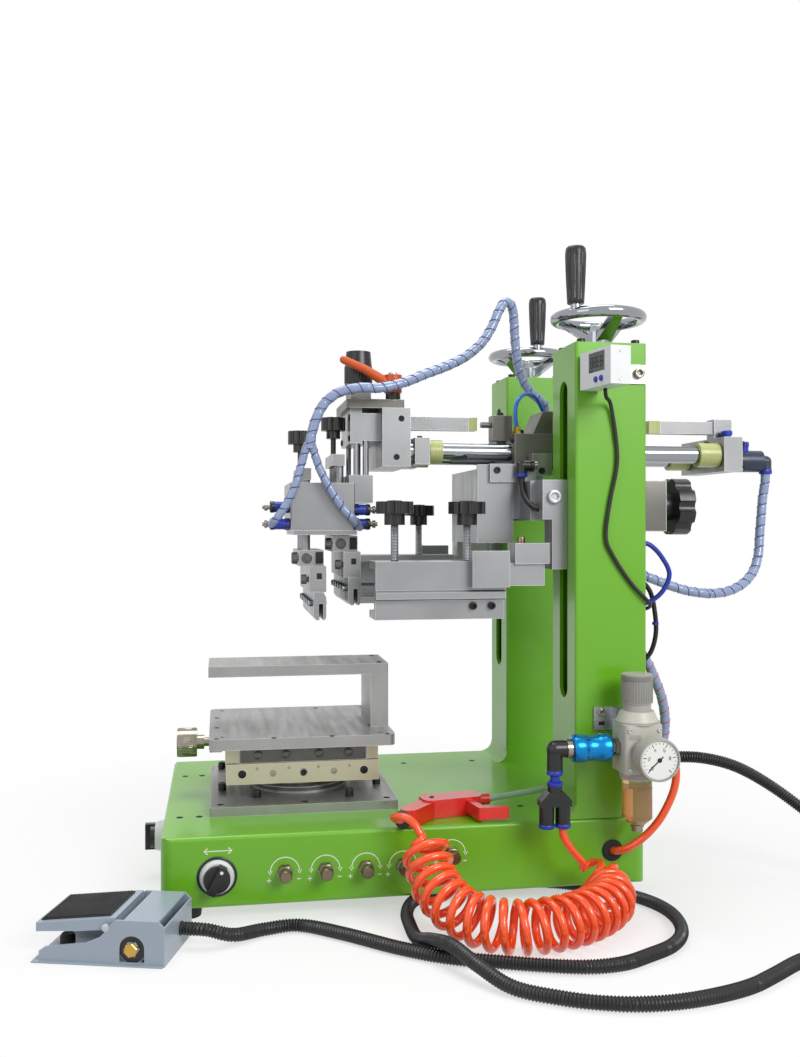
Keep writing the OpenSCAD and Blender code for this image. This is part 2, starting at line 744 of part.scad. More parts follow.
// Beam between the carriages, with the block that carries the bearing housing
module lift_beam() {
    start = near_y + block_d / 2;
    left = housing_x - 30;
    front = mid_y - 77;
    color([0.64, 0.65, 0.67]) {
        translate([beam_x, start, beam_z]) cube([beam_w, base_d - 2 * start, beam_h]);
        translate([0, mid_y + 50, 0]) rotate([90, 0, 0]) linear_extrude(127)
            polygon([[left, beam_z - 25], [left + 41, beam_z - 25], [left + 41, beam_z + 2],
                     [beam_x, beam_z + 2], [beam_x, beam_top], [beam_x + beam_w, beam_top],
                     [beam_x + beam_w, housing_z], [left, housing_z]]);
        translate([left, front - 4, beam_z - 25]) cube([41, 5, housing_z - beam_z + 30]);
        translate([left + 13, front - 9, beam_top]) cube([52, 10, 20]);
        translate([left + 63, front - 4, housing_z - 7]) cube([23, 15, 25]);
    }
}
bar_y = mid_y - 30;
module bearing_housing() {
    left = housing_x + 19;
    top = housing_z + housing_h;
    color([0.66, 0.67, 0.69]) difference() {
        union() {
            for (y = [rod_near, rod_far])
                translate([left, y - 18.5, housing_z]) cube([housing_w - 19, 37, housing_h]);
            translate([left, rod_near, housing_z]) cube([housing_w - 19, rod_gap, 18]);
            for (x = [housing_x, housing_x + housing_w - 24])
                translate([x, bar_y - 2, top - 6]) cube([24, bar_s + 4, 29]);
            translate([housing_x - 12, bar_y + bar_s / 2, bar_z]) x_cylinder(7, 14);
            translate([0, rod_far - 13, 0]) rotate([90, 0, 0]) linear_extrude(50)
                polygon([[housing_x + 50, top], [housing_x + 64, top + 30],
                         [housing_x + 80, top + 30], [housing_x + 80, top - 6],
                         [housing_x + 50, top - 6]]);
        }
        for (y = [rod_near, rod_far])
            translate([housing_x - 1, y, rod_z]) x_cylinder(rod_d + 2 * fit, housing_w + 2);
    }
}

// Screen clamp arms: channels that open towards each other
module arm_outline() {
    polygon([[0, arm_h], [0, 31], [-4, 29], [-4, 22], [4, 20], [4, 0],
             [arm_reach, 0], [arm_reach, arm_t], [4 + arm_t, arm_t],
             [4 + arm_t, 20], [arm_t, 24], [arm_t, arm_h - arm_t],
             [arm_reach, arm_h - arm_t], [arm_reach, arm_h]]);
}
knob_y = arm_near_y + 31;
screw_r = 4;
near_knobs = [arm_x + 25, arm_x + 104];
far_knobs = [arm_x + 94];
module clamp_arm(knobs) {
    difference() {
        translate([arm_x, arm_near_y, arm_z]) rotate([90, 0, 90]) linear_extrude(arm_len) arm_outline();
        for (x = knobs)
            translate([x, knob_y, arm_top - arm_t - 1]) cylinder(r = screw_r + fit, h = arm_t + 2);
    }
}
module clamp_arms() {
    color([0.76, 0.77, 0.79]) {
        clamp_arm(near_knobs);
        on_far_side() clamp_arm(far_knobs);
    }
}
module frame_knob() {
    translate([0, 0, arm_z + 22]) cylinder(r = screw_r, h = 78);
    translate([0, 0, arm_z + 99]) star_knob(40, 25, 22, 12);
}
module frame_knobs() {
    color([0.05, 0.05, 0.06]) {
        for (x = near_knobs) translate([x, knob_y, 0]) frame_knob();
        on_far_side() for (x = far_knobs) translate([x, knob_y, 0]) frame_knob();
    }
}
module lock_knob() {
    color([0.05, 0.05, 0.06]) {
        translate([lock_x + 1, near_y, lock_z]) rotate([0, 90, 0]) star_knob(62, 27, 30, 9);
        translate([lock_x - 22, near_y, lock_z]) x_cylinder(12, 24);
    }
}

// Handwheels on their lift screws
module handwheel(grip_angle) {
    middle = wheel_r - rim_r;
    difference() {
        translate([0, 0, column_top + 1]) cylinder(d = 28, h = 15);
        translate([0, 0, column_top]) cylinder(d = screw_d, h = 12);
    }
    translate([0, 0, rim_z]) rotate_extrude() translate([middle, 0]) circle(rim_r);
    for (a = [0 : 120 : 359])
        rotate(grip_angle + 60 + a) hull() {
            translate([8, -9, column_top + 6]) cube([4, 18, 8]);
            translate([middle - 4, -5, rim_z - 3]) cube([4, 10, 6]);
        }
    rotate(grip_angle) translate([middle, 0, rim_z]) cylinder(d = 11, h = rim_r + 3);
}
module lift_screw() {
    color([0.6, 0.61, 0.62]) translate([column_x, 0, base_top + 1])
        cylinder(d = screw_d, h = column_h + 11);
}
module near_lift_screw() {
    translate([0, near_y, 0]) lift_screw();
}
module far_lift_screw() {
    translate([0, far_y, 0]) lift_screw();
}
module grip() {
    translate([0, 0, rim_z + rim_r + 3]) {
        cylinder(d1 = 18, d2 = grip_d, h = grip_h - 4);
        translate([0, 0, grip_h - 4]) cylinder(d1 = grip_d, d2 = grip_d - 6, h = 4);
    }
}
near_grip_angle = 219;
far_grip_angle = 270;
module near_handwheel() {
    color([0.8, 0.81, 0.82]) translate([column_x, near_y, 0]) handwheel(near_grip_angle);
}
module far_handwheel() {
    color([0.8, 0.81, 0.82]) translate([column_x, far_y, 0]) handwheel(far_grip_angle);
}
module near_grip() {
    color([0.05, 0.05, 0.05]) translate([column_x, near_y, 0])
        rotate(near_grip_angle) translate([wheel_r - rim_r, 0, 0]) grip();
}
module far_grip() {
    color([0.05, 0.05, 0.05]) translate([column_x, far_y, 0])
        rotate(far_grip_angle) translate([wheel_r - rim_r, 0, 0]) grip();
}

// Stroke shuttle: two rods that carry the print head at their left ends
module stroke_rods() {
    color([0.85, 0.86, 0.87]) for (y = [rod_near, rod_far])
        translate([rod_left, y, rod_z]) x_cylinder(rod_d, rod_right - rod_left);
}
module collar(d, w) {
    difference() {
        x_cylinder(d, w);
        translate([-1, 0, 0]) x_cylinder(rod_d + 2 * fit, w + 2);
    }
}
bar_left_end = clamp_x + clamp_w + 74;
cap_w = 10;
right_cap_x = housing_x + housing_w + stop_travel + 5;
module rod_collars() {
    color([0.72, 0.78, 0.3]) {
        for (y = [rod_near, rod_far]) {
            translate([clamp_x + 56, y, rod_z]) collar(27, 15);
            translate([end_block_x - 27, y, rod_z]) collar(29, 26);
        }
        translate([bar_left_end, bar_y, bar_z - bar_s / 2]) cube([cap_w, bar_s, bar_s]);
        translate([right_cap_x, bar_y, bar_z - bar_s / 2]) cube([14, bar_s, bar_s]);
    }
}
module rod_end_block() {
    color([0.6, 0.61, 0.63]) difference() {
        union() {
            translate([end_block_x, rod_near - 18, rod_z - 20])
                cube([end_block_w, rod_gap + 36, 41]);
            translate([end_block_x, bar_y - 2, rod_z + 20]) cube([end_block_w, bar_s + 4, 24]);
            translate([right_cap_x + 14, bar_y, bar_z - bar_s / 2])
                cube([end_block_x - right_cap_x - 13, bar_s, bar_s]);
        }
        for (y = [rod_near, rod_far])
            translate([end_block_x - 1, y, rod_z]) x_cylinder(rod_d + 2 * fit, end_block_w - 2);
    }
}
module stroke_cylinder() {
    axis_z = rod_z - 7;
    color([0.1, 0.13, 0.25]) translate([end_block_x + end_block_w, rod_near, axis_z]) {
        x_cylinder(26, 32);
        translate([32, 0, 0]) x_cylinder(14, 8);
        translate([39, 0, 0]) sphere(d = 14);
        translate([39, 0, -14]) cylinder(d = 14, h = 14);
    }
}

// Print head
module head_clamp() {
    color([0.64, 0.65, 0.67]) difference() {
        union() {
            translate([clamp_x, mid_y - head_d / 2, clamp_z])
                cube([clamp_w, head_d, clamp_top - clamp_z]);
            for (y = [rod_near, rod_far])
                translate([clamp_x + clamp_w + 6, y - 15, rod_z - 15]) cube([17, 30, 30]);
            translate([clamp_x + clamp_w - 1, bar_y, bar_z - bar_s / 2])
                cube([bar_left_end - clamp_x - clamp_w + 1, bar_s, bar_s]);
        }
        for (y = [rod_near, rod_far])
            translate([rod_left - 1, y, rod_z]) x_cylinder(rod_d + 2 * fit, clamp_w + 40);
    }
}
lever_x = clamp_x + 14;
lever_y = mid_y - 48;
lever_z = head_top + 8;
module head_plate() {
    color([0.72, 0.73, 0.75]) {
        translate([clamp_x - 39, mid_y - 55, clamp_top]) plate(65, 110, plate_h, 2);
        translate([clamp_x - 34, mid_y - 42, head_top]) cube([24, 40, 8]);
        translate([clamp_x - 22, mid_y - 42, head_top + 8]) y_cylinder(24, 40);
        translate([lever_x, lever_y, head_top - 1]) cylinder(d = 16, h = 8.5);
        translate([lever_x, lever_y, head_top]) cylinder(d = 8, h = 16);
    }
}
slide_left = clamp_x - 34;
module height_slide() {
    color([0.68, 0.69, 0.71]) {
        translate([slide_left, mid_y - 45, clamp_top - 39]) cube([13, 90, 39]);
        translate([slide_left + 13, mid_y - 45, clamp_top - 36]) cube([21, 90, 31]);
        translate([slide_left + 7, mid_y - 40, cyl_top + 8]) cylinder(d = 6, h = 37);
        translate([slide_left + 18, mid_y - 40, cyl_top + 8]) cylinder(d = 7, h = 40);
        translate([slide_left + 7, mid_y + 30, cyl_top + 8]) cylinder(d = 6, h = 37);
        translate([slide_left + 18, mid_y + 30, cyl_top + 8]) cylinder(d = 7, h = 40);
        translate([0, mid_y + 45, 0]) rotate([90, 0, 0]) linear_extrude(95)
            polygon([[cyl_x + cyl_w - 6, cyl_top], [cyl_x + cyl_w, cyl_top],
                     [cyl_x + cyl_w, cyl_top - 22], [cyl_x + cyl_w + 21, cyl_top - 22],
                     [cyl_x + cyl_w + 21, cyl_top + 9], [cyl_x + cyl_w - 6, cyl_top + 9]]);
    }
}
module height_knob() {
    color([0.06, 0.06, 0.06]) translate([clamp_x - 22, mid_y - 22, head_top + 20]) {
        cylinder(d = 31, h = 22);
        translate([0, 0, 22]) cylinder(d1 = 31, d2 = 28, h = 15);
    }
}
module clamp_lever() {
    color([0.85, 0.32, 0.08]) translate([lever_x, lever_y, lever_z]) {
        difference() {
            cylinder(d = 20, h = 20);
            translate([0, 0, -1]) cylinder(d = 8 + 2 * fit, h = 10);
        }
        hull() {
            translate([-10, 0, 13]) sphere(d = 12, $fn = 20);
            translate([-32, 0, 26]) sphere(d = 10, $fn = 20);
        }
        hull() {
            translate([-32, 0, 26]) sphere(d = 10, $fn = 20);
            translate([-56, 0, 36]) sphere(d = 9, $fn = 20);
        }
    }
}

// Twin cylinder block, and the two squeegees that it lowers
guide_y = 30;
up_z = cyl_z - 6;
module cylinder_block() {
    color([0.62, 0.63, 0.66]) difference() {
        union() {
            translate([cyl_x, mid_y - cyl_d / 2, cyl_z]) plate(cyl_w, cyl_d, cyl_h, 2);
            translate([cyl_x + 3, mid_y - cyl_d / 2 - 3, cyl_z - 5]) cube([cyl_w - 1, cyl_d + 6, 5]);
        }
        for (x = [left_x, right_x], y = [-guide_y, guide_y])
            translate([x, mid_y + y, cyl_z - 6]) cylinder(d = guide_d + 2 * fit, h = cyl_h + 7);
        for (x = [left_x, right_x])
            translate([x, mid_y, cyl_z - 6]) cylinder(d = ram_d + 2 * fit, h = cyl_h + 7);
    }
}
module cylinder_fittings() {
    color([0.05, 0.15, 0.6]) {
        for (z = [cyl_z + 7, cyl_z + 26]) translate([cyl_x - 22, mid_y - 46, z]) x_cylinder(12, 22);
        for (z = [cyl_z + 7, cyl_z + 23])
            translate([cyl_x + cyl_w, mid_y - 46, z - 6]) translate([0, 0, 6]) x_cylinder(12, 18);
    }
}
// A squeegee in its upper place; its holder sits to the right of the rods
holder_shift = 11;
module holder_profile() {
    polygon([[-6, -45.5], [5, -45.5], [8, -51], [8, -73], [6, -76], [-3, -76], [-6, -72]]);
}
module squeegee() {
    bridge_z = cyl_top + squeegee_stroke + 4;
    for (y = [-guide_y, guide_y])
        translate([0, mid_y + y, up_z - 18]) cylinder(d = guide_d, h = bridge_z + 13 - up_z + 18);
    translate([0, mid_y, up_z - 18]) cylinder(d = ram_d, h = bridge_z - up_z + 20);
    translate([-9, mid_y - guide_y - 9, bridge_z]) cube([14.5, 2 * guide_y + 18, 13]);
    translate([-9, mid_y - guide_y - 16, up_z - 18]) cube([28, 2 * guide_y + 32, 18]);
    translate([holder_shift - 10, mid_y - holder_len / 2 + 10, up_z - 46])
        cube([19, holder_len - 20, 28.5]);
    difference() {
        translate([holder_shift, mid_y + holder_len / 2, up_z])
            rotate([90, 0, 0]) linear_extrude(holder_len) holder_profile();
        translate([holder_shift - 0.5, mid_y - holder_len / 2 - 1, up_z - 77])
            cube([5, holder_len + 2, 19]);
    }
}
module left_squeegee() {
    color([0.72, 0.73, 0.75]) translate([left_x, 0, -squeegee_stroke]) squeegee();
}
module right_squeegee() {
    color([0.72, 0.73, 0.75]) translate([right_x, 0, 0]) squeegee();
}
module squeegee_knob() {
    translate([-5, mid_y - 14, cyl_top + squeegee_stroke + 17]) {
        cylinder(d = 6, h = 20);
        translate([0, 0, 19]) star_knob(28, 24, 16, 9);
    }
}
module left_squeegee_knob() {
    color([0.05, 0.05, 0.06]) translate([left_x, 0, -squeegee_stroke]) squeegee_knob();
}
module right_squeegee_knob() {
    color([0.05, 0.05, 0.06]) translate([right_x, 0, 0]) squeegee_knob();
}

// Wrapped air hoses
module head_hose() {
    color([0.6, 0.65, 0.9]) {
        even_tube(head_hose_route, 11);
        even_tube(left_branch_route, 9);
        even_tube(right_branch_route, 9);
    }
}
module cylinder_hose() {
    color([0.6, 0.65, 0.9]) even_tube(concat(stroke_hose_route, lift_hose_route), 11);
}
module column_hose() {
    color([0.7, 0.65, 0.85]) even_tube(column_hose_route, 11);
}

// The whole machine, moved to its origin
translate([-origin_x, -origin_y, 0]) {
    base_housing();
    rubber_feet();
    near_column();
    far_column();
    switch_bezels();
    front_selector();
    end_selector();
    needle_valves();
    position_readout();
    readout_cable();
    steel_brackets();
    regulator_body();
    regulator_knob();
    regulator_bowl();
    pressure_gauge();
    hand_valve();
    air_branch();
    regulator_hose();
    gun_hose();
    air_gun();
    column_fittings();
    pedal_conduit();
    pedal_frame();
    pedal_treadle();
    table_plate();
    turntable();
    table_top();
    work_holder();
    table_knob();
    near_carriage();
    far_carriage();
    lift_beam();
    bearing_housing();
    clamp_arms();
    frame_knobs();
    lock_knob();
    near_lift_screw();
    far_lift_screw();
    near_handwheel();
    far_handwheel();
    near_grip();
    far_grip();
    stroke_rods();
    rod_collars();
    rod_end_block();
    stroke_cylinder();
    head_clamp();
    head_plate();
    height_knob();
    clamp_lever();
    cylinder_block();
    cylinder_fittings();
    height_slide();
    left_squeegee();
    right_squeegee();
    left_squeegee_knob();
    right_squeegee_knob();
    head_hose();
    cylinder_hose();
    column_hose();
}
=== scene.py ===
import math

import bmesh
import bpy
from mathutils import Matrix, Vector


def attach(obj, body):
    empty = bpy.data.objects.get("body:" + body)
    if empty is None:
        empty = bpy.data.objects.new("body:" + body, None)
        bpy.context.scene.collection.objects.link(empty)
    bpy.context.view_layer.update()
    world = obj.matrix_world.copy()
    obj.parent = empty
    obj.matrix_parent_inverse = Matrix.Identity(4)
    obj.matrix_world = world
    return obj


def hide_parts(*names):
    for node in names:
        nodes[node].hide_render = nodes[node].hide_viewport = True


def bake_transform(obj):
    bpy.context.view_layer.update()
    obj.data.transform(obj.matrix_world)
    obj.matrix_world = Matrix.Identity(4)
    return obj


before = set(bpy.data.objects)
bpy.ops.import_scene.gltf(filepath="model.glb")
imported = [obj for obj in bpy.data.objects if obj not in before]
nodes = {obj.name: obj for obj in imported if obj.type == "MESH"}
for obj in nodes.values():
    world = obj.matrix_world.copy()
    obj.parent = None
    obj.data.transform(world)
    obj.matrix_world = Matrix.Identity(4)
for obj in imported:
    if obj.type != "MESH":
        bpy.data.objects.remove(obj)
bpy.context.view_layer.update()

# The machine's own frame: X from the base's left end, Y from its front face, Z up, in millimetres.
# P turns a point of it into the row frame, in metres.
ORIGIN_X = 304.4135
ORIGIN_Y = 128.7118


def P(x, y, z):
    return Vector(((x - ORIGIN_X) / 1000, (y - ORIGIN_Y) / 1000, z / 1000))


def rgb(r, g, b):
    """A colour as it looks on a screen, 0 to 255, as the linear colour that a shader takes."""
    out = []
    for v in (r, g, b):
        v = v / 255
        out.append(v / 12.92 if v <= 0.04045 else ((v + 0.055) / 1.055) ** 2.4)
    return (*out, 1.0)


# Camera, first, because the cords are measured against its view
cam_data = bpy.data.cameras.new("camera")
FOCAL_PX = 1056
PHOTO_HEIGHT_PX = 1057
cam_data.sensor_width = 36
cam_data.lens = 36 * FOCAL_PX / PHOTO_HEIGHT_PX
cam_data.shift_y = -3.5 / PHOTO_HEIGHT_PX
cam_data.clip_start = 0.05
camera = bpy.data.objects.new("camera", cam_data)
bpy.context.scene.collection.objects.link(camera)
camera.location = P(57, -1051.6, 390)
camera.rotation_euler = (math.radians(90), 0, math.radians(-9.7))
bpy.context.scene.camera = camera


def set_inputs(node, **values):
    """Sets inputs of a shader node by name, with underscores for the spaces in a name."""
    for key, value in values.items():
        node.inputs[key.replace("_", " ")].default_value = value
    return node


# Materials
def material(name, color, rough=0.5, metal=0.0, spread=0.06, scale=60, grain=0.0, grain_scale=900,
             stretch=(1, 1, 1), smudge=0.1, coat=0.0, clear=0.0, wear_and_highlight=0.0, wear_and_highlight_color=None, ior=1.5):
    """A procedural material: colour that varies a little, smudged roughness, and a fine grain."""
    m = bpy.data.materials.new(name)
    m.use_nodes = True
    nt = m.node_tree
    link = nt.links.new
    bsdf = set_inputs(nt.nodes["Principled BSDF"], Metallic=metal, IOR=ior, Coat_Weight=coat,
                      Coat_Roughness=0.12, Transmission_Weight=clear)

    where = nt.nodes.new("ShaderNodeTexCoord")
    mapping = set_inputs(nt.nodes.new("ShaderNodeMapping"), Scale=stretch)
    link(where.outputs["Object"], mapping.inputs["Vector"])

    clouds = set_inputs(nt.nodes.new("ShaderNodeTexNoise"), Scale=scale, Detail=4)
    link(where.outputs["Object"], clouds.inputs["Vector"])
    mix = nt.nodes.new("ShaderNodeMix")
    mix.data_type = "RGBA"
    mix.inputs["A"].default_value = tuple(max(0.0, c * (1 - spread)) for c in color[:3]) + (1,)
    mix.inputs["B"].default_value = tuple(min(1.0, c * (1 + spread)) for c in color[:3]) + (1,)
    link(clouds.outputs["Fac"], mix.inputs["Factor"])
    shade = mix.outputs["Result"]

    if wear_and_highlight:
        # Edges lighter where the rounded-over normal leaves the flat one: partly rubbed wear, partly a
        # painted highlight on the edges
        round_over = set_inputs(nt.nodes.new("ShaderNodeBevel"), Radius=0.0012)
        round_over.samples = 4
        flat = nt.nodes.new("ShaderNodeNewGeometry")
        dot = nt.nodes.new("ShaderNodeVectorMath")
        dot.operation = "DOT_PRODUCT"
        link(round_over.outputs["Normal"], dot.inputs[0])
        link(flat.outputs["Normal"], dot.inputs[1])
        edge = set_inputs(nt.nodes.new("ShaderNodeMapRange"), From_Min=0.98, From_Max=0.8, To_Min=0.0,
                          To_Max=wear_and_highlight)
        link(dot.outputs["Value"], edge.inputs["Value"])
        wear_and_highlight_mix = nt.nodes.new("ShaderNodeMix")
        wear_and_highlight_mix.data_type = "RGBA"
        wear_and_highlight_mix.inputs["B"].default_value = wear_and_highlight_color or (0.9, 0.9, 0.88, 1)
        link(edge.outputs["Result"], wear_and_highlight_mix.inputs["Factor"])
        link(shade, wear_and_highlight_mix.inputs["A"])
        shade = wear_and_highlight_mix.outputs["Result"]
    link(shade, bsdf.inputs["Base Color"])

    marks = set_inputs(nt.nodes.new("ShaderNodeTexNoise"), Scale=scale * 0.4, Detail=6)
    link(mapping.outputs["Vector"], marks.inputs["Vector"])
    rough_range = set_inputs(nt.nodes.new("ShaderNodeMapRange"), From_Min=0.3, From_Max=0.7,
                             To_Min=max(0.02, rough - smudge), To_Max=min(1.0, rough + smudge))
    link(marks.outputs["Fac"], rough_range.inputs["Value"])
    link(rough_range.outputs["Result"], bsdf.inputs["Roughness"])

    if grain:
        fine = set_inputs(nt.nodes.new("ShaderNodeTexNoise"), Scale=grain_scale, Detail=2)
        link(mapping.outputs["Vector"], fine.inputs["Vector"])
        bump = set_inputs(nt.nodes.new("ShaderNodeBump"), Strength=grain, Distance=0.0004)
        link(fine.outputs["Fac"], bump.inputs["Height"])
        link(bump.outputs["Normal"], bsdf.inputs["Normal"])
    return m


# The lighter green on the edges of the green paint is a painted highlight
GREEN = material("green paint", rgb(106, 176, 26), rough=0.36, spread=0.04, scale=14, grain=0.12,
                 grain_scale=420, coat=0.25, smudge=0.08, wear_and_highlight=0.4, wear_and_highlight_color=rgb(160, 206, 90))
ALUMINIUM = material("machined aluminium", rgb(148, 149, 151), rough=0.36, metal=0.75, spread=0.1, scale=30,
                     grain=0.1, grain_scale=260, stretch=(1, 9, 1), wear_and_highlight=0.7)
GROUND = material("ground aluminium", rgb(156, 156, 155), rough=0.42, metal=0.7, spread=0.14, scale=26,
                  grain=0.16, grain_scale=200, stretch=(12, 1, 1), smudge=0.12, wear_and_highlight=0.7)
DARK_ALUMINIUM = material("shaded aluminium", rgb(112, 110, 105), rough=0.45, metal=0.65, spread=0.14,
                          scale=30, grain=0.12, grain_scale=240, smudge=0.12, wear_and_highlight=0.6)
CREAM = material("yellowish plated steel", rgb(192, 186, 162), rough=0.36, metal=0.55, spread=0.08,
                 scale=40, grain=0.06, wear_and_highlight=0.6)
CHROME = material("chrome", rgb(150, 154, 158), rough=0.1, metal=1.0, spread=0.04, scale=40, smudge=0.04)
NICKEL = material("nickel", rgb(150, 145, 132), rough=0.22, metal=1.0, scale=90, smudge=0.08)
DULL_NICKEL = material("dull nickel", rgb(122, 108, 92), rough=0.28, metal=1.0, spread=0.08, scale=120,
                       smudge=0.08)
SKY_BLUE = material("light blue tube", rgb(24, 112, 222), rough=0.25, spread=0.08, scale=90, smudge=0.06)
KNOB_GREY = material("grey knob plastic", rgb(132, 132, 128), rough=0.45, scale=90, grain=0.12,
                     grain_scale=1100)
STEEL = material("zinc plated steel", rgb(182, 186, 190), rough=0.35, metal=0.85, spread=0.12, scale=120,
                 grain=0.05, smudge=0.12, wear_and_highlight=0.4)
DARK_STEEL = material("oiled steel", rgb(96, 94, 92), rough=0.4, metal=0.8, spread=0.15, scale=90,
                      smudge=0.12)
BLACK_STEEL = material("blackened steel", rgb(34, 34, 36), rough=0.38, metal=0.5, spread=0.2, scale=200,
                       grain=0.05)
BRASS = material("brass", rgb(196, 158, 84), rough=0.28, metal=1.0, spread=0.08, scale=90)
BLACK = material("black plastic", rgb(20, 20, 22), rough=0.32, spread=0.25, scale=150, grain=0.12,
                 grain_scale=1400, smudge=0.08)
RUBBER = material("black rubber", rgb(24, 24, 25), rough=0.7, spread=0.25, scale=90, grain=0.2)
WHITE = material("white plastic", rgb(232, 234, 236), rough=0.35, spread=0.02, grain=0.05, smudge=0.08)
GREY_PLASTIC = material("grey moulded plastic", rgb(172, 170, 162), rough=0.45, spread=0.05, scale=90,
                        grain=0.12, grain_scale=1100)
REGULATOR = material("die cast regulator", rgb(196, 196, 184), rough=0.45, grain=0.16, grain_scale=700)
AMBER = material("clear bowl", rgb(232, 196, 150), rough=0.08, spread=0.05, scale=80, clear=0.85,
                 smudge=0.04, ior=1.45)
BLUE_METAL = material("blue anodised aluminium", rgb(20, 128, 196), rough=0.26, metal=0.8, spread=0.08,
                      scale=90, smudge=0.08, wear_and_highlight=0.4)
BLUE = material("blue plastic", rgb(28, 52, 170), rough=0.3, spread=0.08, scale=90, smudge=0.08)
DARK_BLUE = material("dark blue plastic", rgb(38, 48, 72), rough=0.35, spread=0.12, scale=90, grain=0.08,
                     smudge=0.08)
ORANGE_HOSE = material("orange polyurethane", rgb(250, 84, 22), rough=0.2, spread=0.04, coat=0.4,
                       smudge=0.05)
RED = material("red plastic", rgb(222, 44, 34), rough=0.24, coat=0.2, smudge=0.06)
ORANGE = material("orange plastic", rgb(206, 84, 24), rough=0.3, spread=0.08, smudge=0.08)
URETHANE = material("urethane", rgb(206, 212, 140), rough=0.3, clear=0.25, smudge=0.08)
# The lighter grey-blue on the enamel's edges is partly chipped wear and partly a painted highlight
HAMMER = material("grey-blue enamel", rgb(156, 168, 182), rough=0.34, spread=0.05, scale=50, grain=0.3,
                  grain_scale=240, coat=0.2, smudge=0.08, wear_and_highlight=0.5, wear_and_highlight_color=rgb(196, 204, 214))
WRAP = material("hose wrap", rgb(146, 160, 196), rough=0.22, spread=0.16, scale=110, smudge=0.08, coat=0.3)
WRAP_BLUE = material("edge of the wrap", rgb(52, 70, 138), rough=0.25, spread=0.1, scale=90, smudge=0.06)
CLEAR_TUBE = material("pale tube", rgb(150, 178, 160), rough=0.15, scale=80, coat=0.3, smudge=0.04)
LCD = material("display", rgb(44, 58, 52), rough=0.12, spread=0.1, scale=90, smudge=0.03)
MARK = material("white paint marks", rgb(236, 242, 226), rough=0.45, spread=0.02, scale=200, smudge=0.05)
DIAL = material("dial", rgb(240, 240, 236), rough=0.4, spread=0.01, smudge=0.05)
# Black for printed figures and marks, and painted shade inside open holes and slots
DARK = material("dark inside", rgb(14, 14, 14), rough=0.8, spread=0.2)
CABLE = material("black cable", rgb(9, 9, 10), rough=0.55, spread=0.2, scale=120)
CONDUIT = material("black corrugated conduit", rgb(22, 22, 24), rough=0.42, spread=0.25, scale=160,
                   grain=0.05)

# What each solid of the CAD is made of
FINISHES = (
    (GREEN, "base_housing near_column far_column"),
    (RUBBER, "rubber_feet"),
    (WHITE, "switch_bezels position_readout"),
    (BLACK, "front_selector end_selector air_branch column_fittings frame_knobs lock_knob near_grip "
            "far_grip height_knob left_squeegee_knob right_squeegee_knob"),
    (NICKEL, "needle_valves table_knob"),
    (STEEL, "steel_brackets"),
    (REGULATOR, "regulator_body"),
    (GREY_PLASTIC, "regulator_knob"),
    (AMBER, "regulator_bowl"),
    (CHROME, "pressure_gauge near_handwheel far_handwheel stroke_rods"),
    (BLUE_METAL, "hand_valve"),
    (RED, "air_gun"),
    (HAMMER, "pedal_frame pedal_treadle"),
    (GROUND, "table_plate table_top work_holder"),
    (CREAM, "turntable"),
    (ALUMINIUM, "near_carriage far_carriage lift_beam clamp_arms rod_end_block head_clamp cylinder_block "
                "height_slide left_squeegee right_squeegee"),
    (DARK_ALUMINIUM, "bearing_housing head_plate"),
    (DARK_STEEL, "near_lift_screw far_lift_screw"),
    (URETHANE, "rod_collars"),
    (DARK_BLUE, "stroke_cylinder"),
    (ORANGE, "clamp_lever"),
    (BLUE, "cylinder_fittings"),
    (WRAP, "head_hose cylinder_hose column_hose"),
    (CABLE, "readout_cable"),
    (ORANGE_HOSE, "regulator_hose gun_hose"),
    (CONDUIT, "pedal_conduit"),
)
# Rounding of edges in mm
ROUNDINGS = (
    (3, "base_housing"),
    (2.2, "near_column far_column"),
    (1.6, "position_readout"),
    (1.2, "regulator_body air_gun"),
    (1, "bearing_housing cylinder_block height_knob"),
    (0.8, "near_carriage far_carriage lift_beam rod_end_block head_clamp head_plate height_slide "
          "pedal_treadle regulator_knob front_selector end_selector clamp_lever"),
    (0.7, "clamp_arms"),
    (0.6, "table_plate table_top work_holder turntable pedal_frame table_knob"),
)
for finish, names in FINISHES:
    for name in names.split():
        for slot in nodes[name].material_slots:
            slot.material = finish
for radius, names in ROUNDINGS:
    for name in names.split():
        edge = nodes[name].modifiers.new("edges", "BEVEL")
        edge.width = radius / 1000
        edge.segments = 2
        edge.limit_method = "ANGLE"
        edge.angle_limit = math.radians(50)
        edge.use_clamp_overlap = True
        edge.harden_normals = False


# Makers of shapes
def new_piece(name, bm, finish, body, smooth=True):
    mesh = bpy.data.meshes.new(name)
    bmesh.ops.recalc_face_normals(bm, faces=bm.faces)
    bm.to_mesh(mesh)
    bm.free()
    mesh.materials.append(finish)
    if smooth:
        for f in mesh.polygons:
            f.use_smooth = True
        mesh.set_sharp_from_angle(angle=math.radians(40))
    piece = bpy.data.objects.new(name, mesh)
    bpy.context.scene.collection.objects.link(piece)
    if body:
        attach(piece, body)
    return piece


def turn_to(axis):
    """The rotation that takes Z to axis."""
    return Vector((0, 0, 1)).rotation_difference(Vector(axis)).to_matrix().to_4x4()


